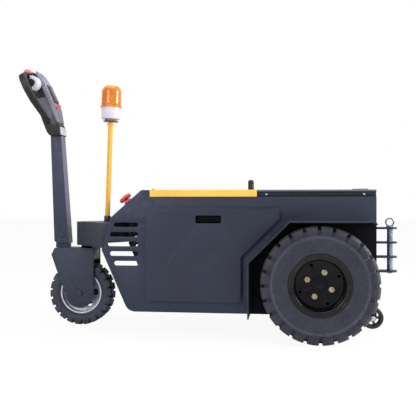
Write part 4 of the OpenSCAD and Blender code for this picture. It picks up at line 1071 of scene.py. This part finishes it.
# %% [markdown]
# The motor is a drum with cooling ribs: one rib is a few steps of the profile, and a loop repeats
# them. The controller is an alloy block on a base plate.

# %% Motor and controller
low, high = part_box("drive_motor")
centre = (low + high) / 2
radius = (high.z - low.z) / 2
length = high.x - low.x
ribs = 14
ribs_from = 0.16
rib_pitch = 0.68 / ribs
rib_root = 0.93
profile = [(0.0, 0.0), (0.7, 0.0), (0.86, 0.015), (0.95, 0.06), (0.95, 0.14)]
for index in range(ribs):
    start = ribs_from + rib_pitch * index
    profile += [(rib_root, start), (1.0, start + 0.1 * rib_pitch), (1.0, start + 0.5 * rib_pitch),
                (rib_root, start + 0.6 * rib_pitch)]
profile += [(0.95, 0.86), (0.95, 0.94), (0.88, 0.985), (0.7, 1.0), (0.0, 1.0)]
points = [Vector((low.x + length * along, centre.y, centre.z + radius * out)) for out, along in profile]
motor = spun("drive_motor_finished", points, centre, (1, 0, 0), 64)
settle_as(motor, motor_paint, "drive_motor")

low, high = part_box("motor_controller")
plate_thickness = 0.012
block_inset = Vector((0, 0.012, 0.006))
plate_x = high.x - plate_thickness
plate = boxed("controller_base", Vector((plate_x, low.y, low.z)), high)
soften(plate, 0.001)
block = boxed("controller_block", low + block_inset, Vector((plate_x, high.y, high.z)) - block_inset)
soften(block, 0.004, 3)
controller = joined([plate, block], "motor_controller_finished")
settle_as(controller, alloy, "motor_controller")
print(faces(motor, controller))

# %% [markdown]
# The mast leans two degrees towards the tail. Everything on it is a turned part, so each profile
# is drawn upright at the origin, spun, and then carried to the mast by one matrix.


# %% Mast
def turned(name, profile, place, steps=64, foot=0.0):
    """A profile of (radius, height above the foot), spun about Z and carried to its place."""
    points = [Vector((radius, 0, foot + height)) for radius, height in profile]
    piece = spun(name, points, Vector(), (0, 0, 1), steps)
    piece.data.transform(place)
    return piece


mast_foot = Vector((axle_x - 0.935, 0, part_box("nose_shell")[1].z))
mast_lean = radians(2)
on_mast = Matrix.Translation(mast_foot) @ Matrix.Rotation(mast_lean, 4, "Y")
mast_profile = [
    (0.0, 0.001), (0.011, 0.001), (0.011, 0.426), (0.0118, 0.428), (0.0118, 0.4335), (0.0150, 0.4375),
    (0.0170, 0.4395), (0.0170, 0.4435), (0.0160, 0.4445), (0.0072, 0.4450), (0.0070, 0.4580),
    (0.0245, 0.4580), (0.0250, 0.4586), (0.0250, 0.4624), (0.0245, 0.4630), (0.0, 0.4630),
]
mast = turned("mast_finished", mast_profile, on_mast, 48)
settle_as(mast, mast_paint, "mast")
print(faces(mast))

# %% [markdown]
# Under the beacon sits a dark steel washer, and three gold passivated screws come down through it.


# %% Washer and screws under the beacon
washer_profile = [(0.0074, 0.4520), (0.0330, 0.4520), (0.0345, 0.4528), (0.0345, 0.4545), (0.0330, 0.4555),
                  (0.0074, 0.4555)]
washer = turned("beacon_washer", washer_profile, on_mast)
settle(washer, cast_iron, "chassis")
screw_profile = [(0.0, 0.4440), (0.0016, 0.4442), (0.0020, 0.4450), (0.0020, 0.4490), (0.0040, 0.4490),
                 (0.0042, 0.4500), (0.0042, 0.4520), (0.0022, 0.4524), (0.0020, 0.4632), (0.0, 0.4632)]
screw_circle = 0.0315
first_screw = -8
screws = []
for index in range(3):
    turn = Matrix.Rotation(radians(first_screw + 120 * index), 4, "Z")
    place = on_mast @ turn @ Matrix.Translation((screw_circle, 0, 0))
    screws.append(turned(f"beacon_screw_{index}", screw_profile, place, 16))
screws = joined(screws, "beacon_screws")
settle(screws, gold_zinc, "chassis")
print(faces(screws))

# %% [markdown]
# The beacon's white base is a moulded cup: it tapers a little towards its foot so that it leaves the
# mould, and a step near the top carries the dome.


# %% Beacon base
base_bottom = 0.463
base_profile = [
    (0.0, 0.0), (0.0395, 0.0), (0.0415, 0.0006), (0.0424, 0.0022), (0.0432, 0.030), (0.0436, 0.0445),
    (0.0445, 0.0452), (0.0445, 0.0505), (0.0438, 0.0516), (0.0180, 0.0520), (0.0160, 0.0590), (0.0, 0.0590),
]
base = turned("beacon_base_finished", base_profile, on_mast, foot=base_bottom)
settle_as(base, white_plastic, "beacon_base")
print(faces(base))

# %% [markdown]
# The dome is a smooth amber shell with a flange at its foot. A second lens stands inside it, with fine
# upright ribs that spread the light. They are made by pulling every other upright line outwards.


# %% Beacon dome
dome_bottom = 0.515
rib_steps = 88
dome_outer = [
    (0.0475, 0.0002), (0.0492, 0.0008), (0.0495, 0.0022), (0.0492, 0.0058), (0.0480, 0.0070),
    (0.0456, 0.0078), (0.0449, 0.0096), (0.0448, 0.0400), (0.0445, 0.0700),
]


def shoulder(start, reach, rise, turns):
    """The round shoulder of the dome: an arc from a (radius, height) start."""
    return [(start[0] + reach * cos(radians(turn)), start[1] + rise * sin(radians(turn))) for turn in turns]


dome_profile = [
    *dome_outer, *shoulder((0.0170, 0.0720), 0.0275, 0.0276, range(12, 90, 13)), (0.0090, 0.0999),
    (0.0, 0.1000), (0.0, 0.0976), (0.0090, 0.0975),
    *shoulder((0.0165, 0.0715), 0.0258, 0.0259, range(78, 0, -13)), (0.0424, 0.0690), (0.0427, 0.0400),
    (0.0428, 0.0002),
]
dome = turned("beacon_dome_finished", dome_profile, on_mast, rib_steps, dome_bottom)
settle_as(dome, amber_lens, "beacon_dome")

lens_profile = [
    (0.0300, 0.0075), (0.0378, 0.0075), (0.0378, 0.0110), (0.0374, 0.0400), (0.0368, 0.0680),
    (0.0340, 0.0790), (0.0270, 0.0860), (0.0150, 0.0890), (0.0, 0.0895), (0.0, 0.0875), (0.0145, 0.0870),
    (0.0260, 0.0840), (0.0322, 0.0776), (0.0346, 0.0670), (0.0352, 0.0400), (0.0354, 0.0110),
    (0.0300, 0.0095), (0.0300, 0.0075),
]
lens = turned("beacon_lens", lens_profile, Matrix.Identity(4), rib_steps, dome_bottom)
rib_stretch = 1.045
ribs_beyond = 0.0360
pick(lens)
for corner in lens.data.vertices:
    step = atan2(corner.co.y, corner.co.x) / (2 * pi) * rib_steps
    reach = (corner.co.x ** 2 + corner.co.y ** 2) ** 0.5
    corner.select = reach > ribs_beyond and round(step) % 2 == 0
bpy.ops.object.mode_set(mode="EDIT")
bpy.ops.transform.resize(value=(rib_stretch, rib_stretch, 1), center_override=(0, 0, 0))
bpy.ops.object.mode_set(mode="OBJECT")
lens.data.transform(on_mast)
settle(lens, amber_lens, "chassis")
print(faces(dome, lens))

# %% [markdown]
# The lamp is a pale glass tube with a waist above its foot.

# %% Beacon lamp
lamp_profile = [
    (0.0, 0.0070), (0.0130, 0.0070), (0.0130, 0.0120), (0.0118, 0.0128), (0.0100, 0.0135), (0.0100, 0.0150),
    (0.0116, 0.0170), (0.0126, 0.0230), (0.0128, 0.0420), (0.0118, 0.0510), (0.0085, 0.0570), (0.0, 0.0590),
]
lamp = turned("beacon_lamp_finished", lamp_profile, on_mast, 40, dome_bottom)
settle_as(lamp, lamp_glass, "beacon_lamp")
print(faces(lamp))

# %% [markdown]
# The emergency stop is a mushroom button on the near edge of the slope. Its cap has a hollowed
# underside, a rounded rim and small grip notches, cut with a ring of thin cylinders.


# %% Emergency stop
slope_foot = Vector((axle_x - 0.856, 0, 0.486))
slope_head = Vector((axle_x - 0.725, 0, 0.601))
slope_turn = atan2(slope_head.z - slope_foot.z, slope_head.x - slope_foot.x)
stop_share = 0.53
stop_inset = 0.050
stop_aside = Vector((0, outer_face("side_plate_left", -1) + stop_inset, 0))
stop_place = slope_foot.lerp(slope_head, stop_share) + stop_aside
on_slope = Matrix.Translation(stop_place) @ Matrix.Rotation(-slope_turn, 4, "Y")

ring_profile = [(0.0072, 0.0002), (0.0220, 0.0002), (0.0220, 0.0030), (0.0205, 0.0048), (0.0180, 0.0060),
                (0.0158, 0.0062), (0.0072, 0.0062)]
ring = turned("stop_base_finished", ring_profile, on_slope, 48)
settle_as(ring, black_plastic, "stop_base")
sleeve_profile = [(0.0072, 0.0062), (0.0188, 0.0062), (0.0186, 0.0100), (0.0176, 0.0116), (0.0174, 0.0134),
                  (0.0166, 0.0142), (0.0072, 0.0142)]
sleeve = turned("stop_sleeve", sleeve_profile, on_slope, 48)
settle(sleeve, red_plastic, "chassis")

cap_profile = [
    (0.0, 0.0063), (0.0068, 0.0063), (0.0068, 0.0200), (0.0105, 0.0216), (0.0190, 0.0222), (0.0235, 0.0214),
    (0.0262, 0.0216), (0.0272, 0.0230), (0.0275, 0.0255), (0.0273, 0.0300), (0.0262, 0.0330),
    (0.0235, 0.0347), (0.0190, 0.0352), (0.0120, 0.0346), (0.0, 0.0340),
]
cap = turned("stop_button_finished", cap_profile, Matrix.Identity(4), 96)
notch_count = 16
notch_radius = 0.0019
notch_circle = 0.0284
notch_height = 0.0285
notch_length = 0.03
for index in range(notch_count):
    angle = 2 * pi * index / notch_count
    place = (notch_circle * cos(angle), notch_circle * sin(angle), notch_height)
    cut(cap, cylinder(notch_radius, notch_length, place, 16))
cap.data.transform(on_slope)
settle_as(cap, red_plastic, "stop_button")
print(faces(cap))

# %% [markdown]
# The tow pin has chamfered ends, a collar that rests on the top plate and a welded ring to pull it by.


# %% Tow pin
low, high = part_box("tow_pin")
pin_axis = Vector(((low.x + high.x) / 2, 0, low.z))
ring_outer = 0.020
ring_wire = 0.0035
ring_sink = 0.003
collar_top = high.z - low.z - 2 * ring_outer + ring_sink
collar_height = 0.004
pin_profile = [
    (0.0, 0.0), (0.0100, 0.0), (0.0120, 0.0020), (0.0120, collar_top - collar_height),
    (0.0155, collar_top - collar_height), (0.0160, collar_top - 0.0034), (0.0160, collar_top - 0.0008),
    (0.0152, collar_top), (0.0, collar_top),
]
pin = turned("tow_pin_rod", pin_profile, Matrix.Translation(pin_axis), 40)
deselect()
bpy.ops.mesh.primitive_torus_add(
    major_segments=56, minor_segments=18, major_radius=ring_outer - ring_wire, minor_radius=ring_wire,
    location=pin_axis + Vector((0, 0, collar_top + ring_outer - ring_sink)), rotation=(pi / 2, 0, 0))
eye = bpy.context.object
bpy.ops.object.transform_apply()
weld_profile = [(0.0, 0.0), (0.0080, 0.0), (0.0072, 0.0016), (0.0045, 0.0032), (0.0, 0.0036)]
weld = turned("tow_pin_weld", weld_profile, Matrix.Translation(pin_axis + Vector((0, 0, collar_top))), 24)
pin = joined([pin, eye, weld], "tow_pin_finished")
settle_as(pin, pin_steel, "tow_pin")
print(faces(pin))

# %% [markdown]
# The tail roller turns on an axle of its own. Its rubber tread sits on a plastic hub with a thin web,
# and five arc-shaped windows pierce the web.

# %% Roller
hub = Vector(joints["roller_spin"]["pos_m"])
low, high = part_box("roller_tyre")
roller_radius = (high.z - low.z) / 2
roller_half = (high.y - low.y) / 2
tread = 0.009
roller_tyre_profile = both_sides([
    (roller_radius - tread + 0.0002, roller_half), (roller_radius - 0.003, roller_half),
    (roller_radius - 0.0006, roller_half - 0.0022), (roller_radius, roller_half - 0.006),
    (roller_radius, 0.0),
])
roller_tyre = spun("roller_tyre_finished", ring_points(roller_tyre_profile, hub), hub, across_axis, 72)
settle_as(roller_tyre, roller_rubber, "roller_tyre")

core = roller_radius - tread
hub_profile = both_sides([
    (0.0072, roller_half), (0.0118, roller_half), (0.0120, roller_half - 0.002), (0.0122, 0.008),
    (0.0150, 0.0065), (core - 0.0085, 0.0065), (core - 0.0055, 0.009), (core - 0.005, roller_half - 0.0015),
    (core - 0.0035, roller_half), (core, roller_half),
])
roller_hub = spun("roller_hub_finished", ring_points(hub_profile, hub), hub, across_axis, 60)
windows = 5
window_share = 0.66
window_inner = 0.0165
window_outer = core - 0.0095
arc_steps = 8
cutter_half = 0.03
for index in range(windows):
    middle = 2 * pi * (index + 0.5) / windows
    half = pi / windows * window_share
    edge = []
    for radius, signs in ((window_outer, (-1, 1)), (window_inner, (1, -1))):
        for step in range(arc_steps + 1):
            angle = middle + half * (signs[0] + (signs[1] - signs[0]) * step / arc_steps)
            edge.append(hub + Vector((radius * cos(angle), -cutter_half, radius * sin(angle))))
    cut(roller_hub, extruded("window_cutter", edge, (0, 2 * cutter_half, 0)))
settle_as(roller_hub, black_plastic, "roller_hub")
print(faces(roller_hub, roller_tyre))

# %% [markdown]
# The tiller head leans forward on its arm. Its pieces are drawn in the head's own plane, with depth
# towards the operator's back as X and height along the head as Z, and one matrix carries them there.


# %% Head frame and arm
head_lean = radians(24)
head_place = Vector((axle_x - 1.167, 0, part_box("tiller_arm")[1].z))
in_head = Matrix.Translation(head_place) @ Matrix.Rotation(-head_lean, 4, "Y")
head_length = 0.304
head_depth = 0.100


def in_plane(pairs, side):
    """Points (depth share, height share) of the head as places at one side offset."""
    return [Vector((depth * head_depth, side, height * head_length)) for depth, height in pairs]


def slab(name, pairs, half_width, place=None):
    """An outline of the head's plane, extruded to both sides."""
    piece = extruded(name, in_plane(pairs, -half_width), (0, 2 * half_width, 0))
    piece.data.transform(place or in_head)
    return piece


arm = dress("tiller_arm", arm_coat, 0.0035, 3)
print(faces(arm))

# %% [markdown]
# The housing and the guard loop are big soft mouldings in black rubbery plastic. A copy of the solid
# is remeshed into small even quads and relaxed, which rounds every edge the way a mould does.


# %% Soft mouldings
def moulded(piece, voxel, rounds):
    """Remeshes a closed piece into even quads and relaxes its edges."""
    apply_modifier(piece, "REMESH", mode="VOXEL", voxel_size=voxel, adaptivity=0.0)
    apply_modifier(piece, "SMOOTH", factor=0.5, iterations=rounds)


housing_outline = [
    (-0.228, 0.034), (-0.29, 0.15), (-0.25, 0.43), (-0.19, 0.63), (-0.21, 0.97), (-0.17, 0.998),
    (0.25, 0.998), (0.30, 0.97), (0.355, 0.75), (0.355, 0.10), (0.226, -0.034),
]
housing_half = 0.0416
housing = slab("tiller_head_finished", housing_outline, housing_half)
moulded(housing, 0.0024, 10)
settle_as(housing, grip_rubber, "tiller_head")
print(faces(housing))

guard = copy_of("grip_guard", "grip_guard_finished")
moulded(guard, 0.0022, 14)
settle_as(guard, grip_rubber, "grip_guard")
print(faces(guard))

# %% [markdown]
# Between the guard and the console a concave web flares out, like the palm of a hand. It is lofted:
# a few rings are drawn across it, each pair is bridged, and the result is relaxed.


# %% Guard webs
def lofted(name, rings):
    """A closed solid through rings of equal corner counts."""
    count = len(rings[0])
    loops = [outline(f"{name}_{index}", ring, filled=index in (0, len(rings) - 1))
             for index, ring in enumerate(rings)]
    piece = joined(loops, name)
    pick(piece)
    bpy.context.tool_settings.mesh_select_mode = (False, True, False)
    for index in range(len(rings) - 1):
        start, stop = index * count, (index + 2) * count
        bpy.ops.object.mode_set(mode="EDIT")
        bpy.ops.mesh.select_all(action="DESELECT")
        bpy.ops.object.mode_set(mode="OBJECT")
        for face in piece.data.polygons:
            face.select = False
        for edge in piece.data.edges:
            a, b = edge.vertices
            same = a // count == b // count
            edge.select = same and start <= a < stop and start <= b < stop
        bpy.ops.object.mode_set(mode="EDIT")
        bpy.ops.mesh.bridge_edge_loops()
        bpy.ops.object.mode_set(mode="OBJECT")
    clean(piece, dissolve=False)
    return piece


web_heights = (0.15, 0.22, 0.30, 0.38, 0.46, 0.54)
guard_line = [(0.0, 0.30), (0.20, 0.30), (0.33, 0.52), (0.53, 0.87), (0.70, 1.0)]
guard_half_width = 0.160


def guard_reach(height):
    """How far out the guard's lower bar is at a height share."""
    for (low_height, low_side), (high_height, high_side) in zip(guard_line, guard_line[1:]):
        if height <= high_height:
            share = (height - low_height) / (high_height - low_height)
            return guard_half_width * (low_side + (high_side - low_side) * share)
    return guard_half_width


web_share = 0.93
web_inner = 0.0405
web_lift = 0.045
webs = []
for side in (-1, 1):
    rings = []
    for height in web_heights:
        out = guard_reach(height) * web_share
        span = out - web_inner
        rise = height * head_length
        lift = web_lift * (height - web_heights[0]) / (web_heights[-1] - web_heights[0])
        rings.append([
            in_head @ Vector((depth, side * across, rise + up)) for depth, across, up in (
                (0.006, web_inner, 0.0), (0.006, out, 0.0), (0.0125, out, 0.0),
                (0.020, web_inner + span * 0.52, lift * 0.12), (0.030, web_inner + span * 0.20, lift * 0.2),
                (0.0352, 0.0428, lift * 0.3), (0.0352, web_inner, lift * 0.3))
        ])
    webs.append(lofted(f"guard_web_{side}", rings))
web = joined(webs, "guard_webs")
moulded(web, 0.0020, 6)
settle(web, web_plastic, "tiller")
print(faces(web))

# %% [markdown]
# The collar steps out where the head slips over the arm, and carries the bare pale plate.


# %% Collar and plate
collar = slab("head_collar", [(-0.235, 0.036), (-0.30, 0.128), (0.368, 0.098), (0.235, -0.035)], 0.0438)
soften(collar, 0.004, 4)
settle(collar, grip_rubber, "tiller")

plate_foot = in_head @ Vector((0.0249, 0, -0.0066))
plate_head = in_head @ Vector((0.0358, 0, 0.0270))
plate_up = (plate_head - plate_foot).normalized()
plate_out = Vector((plate_up.z, 0, -plate_up.x))
plate_half = 0.036
plate_thick = 0.0008
plate_base = plate_foot + plate_out * 0.0004
plate_top = plate_base + plate_up * (plate_head - plate_foot).length
aside = Vector((0, plate_half, 0))
corners = [plate_base - aside, plate_base + aside, plate_top + aside, plate_top - aside]
plate = extruded("collar_plate", corners, tuple(plate_out * plate_thick))
soften(plate, 0.0003, 2)
settle(plate, white_plastic, "tiller")
print("collar and plate ready")

# %% [markdown]
# The console is a lilac-grey shell. Short ribs run across both its flanks, and the window of the
# display sits in a raised black block that slopes down at both ends.


# %% Console
console_half = 0.0438
console_outline = [
    (0.345, 0.161), (0.378, 0.161), (0.458, 0.27), (0.527, 0.36), (0.542, 0.435), (0.542, 0.78),
    (0.428, 0.983), (0.370, 0.997), (0.335, 0.97),
]
console = slab("console_cover_finished", console_outline, console_half)
soften(console, 0.0055, 4)
settle_as(console, grey_plastic, "console_cover")

rib_count = 9
rib_first = 0.455
rib_last = 0.86
rib_size = (0.0135, 0.0026, 0.0048)
flank_ribs = []
for side in (-1, 1):
    for index in range(rib_count):
        height = rib_first + (rib_last - rib_first) * index / (rib_count - 1)
        depth = 0.0500 - 0.012 * max(0.0, height - 0.685) / 0.27
        middle = in_head @ Vector((depth - 0.0065, side * (console_half - 0.0002), height * head_length))
        deselect()
        bpy.ops.mesh.primitive_cube_add(size=1, location=middle, rotation=(0, -head_lean, 0))
        rib = bpy.context.object
        rib.scale = rib_size
        bpy.ops.object.transform_apply()
        soften(rib, 0.0011, 3)
        flank_ribs.append(rib)
flank_ribs = joined(flank_ribs, "console_ribs")
settle(flank_ribs, rib_plastic, "tiller")
print(faces(console, flank_ribs))

# %% [markdown]
# The window is let into the top of the black block, and four small red lamps stand in a row below it.

# %% Display block, window and lamps
display_half = 0.026
display_outline = [
    (0.538, 0.452), (0.602, 0.472), (0.609, 0.49), (0.609, 0.722), (0.602, 0.738), (0.538, 0.758)]
display = slab("display_panel_finished", display_outline, display_half)
soften(display, 0.0022, 3)
settle_as(display, black_plastic, "display_panel")
window_half = 0.0205
window_outline = [(0.6055, 0.505), (0.6098, 0.508), (0.6098, 0.704), (0.6055, 0.707)]
window = slab("display_window", window_outline, window_half)
soften(window, 0.0002, 2)
settle(window, display_glass, "tiller")
lamp_depth = 0.0536
lamp_pitch = 0.010
lamp_height = 0.414
lamp_profile = [(0.0, -0.001), (0.0028, -0.001), (0.0028, 0.0010), (0.0022, 0.0016), (0.0, 0.0018)]
facing_back = Matrix.Rotation(pi / 2, 4, "Y")
lamps = []
for index in range(4):
    spot = Matrix.Translation((lamp_depth, lamp_pitch * (index - 1), lamp_height * head_length))
    lamps.append(turned(f"display_lamp_{index}", lamp_profile, in_head @ spot @ facing_back, 20))
lamps = joined(lamps, "display_lamps")
settle(lamps, red_plastic, "tiller")
print("display ready")

# %% [markdown]
# The horn button is a pale mushroom on the upper slope of the console, and the key is red with
# a rounded bow. Both keep the places that their joints give them.


# %% Horn and key
horn_height = 0.935
ramp_depths = (0.545, 0.43)
ramp_heights = (0.78, 0.985)
ramp_in = ramp_depths[0] - ramp_depths[1]
ramp_up = ramp_heights[1] - ramp_heights[0]
horn_depth = (ramp_depths[0] - ramp_in * (horn_height - ramp_heights[0]) / ramp_up) * head_depth
horn_tilt = atan2(ramp_in * head_depth, ramp_up * head_length)
at_horn = (in_head @ Matrix.Translation((horn_depth, 0, horn_height * head_length))
           @ Matrix.Rotation(pi / 2 - horn_tilt, 4, "Y"))
horn_profile = [
    (0.0, -0.0040), (0.0058, -0.0040), (0.0058, 0.0033), (0.0110, 0.0034), (0.0118, 0.0042), (0.0120, 0.0060),
    (0.0114, 0.0085), (0.0098, 0.0105), (0.0070, 0.0118), (0.0, 0.0123),
]
horn = turned("horn_button_finished", horn_profile, at_horn, 48)
settle_as(horn, silver_plastic, "horn_button")

key_height = 0.38
key_depth = (0.53 + (0.545 - 0.53) * (key_height - 0.36) / (0.435 - 0.36)) * head_depth + 0.0006
key_aside = -0.0252
at_key = in_head @ Matrix.Translation((key_depth, key_aside, key_height * head_length)) @ facing_back
barrel = turned("key_barrel", [
    (0.0, 0.0), (0.0078, 0.0), (0.0080, 0.0010), (0.0080, 0.0050), (0.0072, 0.0064), (0.0060, 0.0070),
    (0.0056, 0.0078), (0.0, 0.0080)], at_key, 36)
bow_radius = 0.0068
bow_height = 0.0150
bow_turns = [radians(turn) for turn in range(-30, 211, 20)]
bow_points = [
    (-0.0025, 0.0078), (-0.0030, 0.0110),
    *((-bow_radius * cos(turn), bow_height + bow_radius * sin(turn)) for turn in bow_turns),
    (0.0030, 0.0110), (0.0025, 0.0078),
]
bow = extruded("key_bow", [Vector((across, -0.001, up)) for across, up in bow_points], (0, 0.002, 0))
bow.data.transform(at_key)
soften(bow, 0.0004, 2)
key = joined([barrel, bow], "key_switch_finished")
settle_as(key, red_plastic, "key_switch")
print(faces(horn, key))

# %% [markdown]
# Each throttle paddle is a silver crescent round a dark hub, open towards the front, where the
# thumb reaches in. Outer and inner arcs make the outline, and its edges are rolled over.


# %% Throttle
paddle_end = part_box("throttle")[1].y
paddle_length = 0.044
paddle_start = paddle_end - paddle_length
paddle_depth = 0.009
paddle_height = 0.82 * head_length
crescent_outer = 0.0326
crescent_inner = 0.0172
crescent_from = -104
crescent_to = 80
crescent_steps = 26
turns = [radians(crescent_from + (crescent_to - crescent_from) * step / crescent_steps)
         for step in range(crescent_steps + 1)]
arcs = [(crescent_outer, turns), (crescent_inner, turns[::-1])]
paddle_hub_profile = [
    (0.0, 0.0425), (0.0070, 0.0425), (0.0070, paddle_start), (0.0170, paddle_start),
    (0.0170, paddle_end - 0.0060), (0.0158, paddle_end - 0.0030), (0.0128, paddle_end - 0.0014),
    (0.0, paddle_end - 0.0008),
]
hub_place = Matrix.Translation(in_head @ Vector((paddle_depth, 0, paddle_height)))
paddles = []
hubs = []
for side in (-1, 1):
    edge = [
        in_head @ Vector((paddle_depth + radius * cos(turn), side * paddle_start,
                          paddle_height + radius * sin(turn)))
        for radius, course in arcs for turn in course
    ]
    crescent = extruded(f"throttle_paddle_{side}", edge, (0, side * (paddle_length - 0.0004), 0))
    soften(crescent, 0.0026, 4)
    paddles.append(crescent)
    to_side = Matrix.Rotation(-side * pi / 2, 4, "X")
    hubs.append(turned(f"throttle_hub_{side}", paddle_hub_profile, hub_place @ to_side, 48))
paddles = joined(paddles, "throttle_finished")
settle_as(paddles, silver_plastic, "throttle")
hubs = joined(hubs, "throttle_hubs")
settle(hubs, grip_rubber, body_of_node["throttle"])
print(faces(paddles, hubs))

# %% [markdown]
# The belly button is the soft coral pad on top: when the tug backs into its operator, it is pushed in and the tug
# drives off again. Its outline is half an oval, extruded, remeshed and relaxed.


# %% Belly button
belly_foot = head_length + 0.0003 + 0.007
belly_rise = 0.0238
belly_skirt = 0.006
belly_half = 0.0338
belly_reach = 0.0168
belly_edge = [Vector((-0.0237, -belly_half, belly_foot))]
for turn in range(0, 181, 12):
    across, up = cos(radians(turn)), sin(radians(turn))
    belly_edge.append(Vector((
        -0.007 - belly_reach * across * min(1, 0.86 + 0.14 * abs(across)), -belly_half,
        belly_foot + belly_skirt + (belly_rise - belly_skirt) * up ** 0.75)))
belly_edge.append(Vector((0.0097, -belly_half, belly_foot)))
belly = extruded("belly_button_finished", belly_edge, (0, 2 * belly_half, 0))
belly.data.transform(in_head)
moulded(belly, 0.0018, 8)
settle_as(belly, coral_plastic, "belly_button")
print(faces(belly))
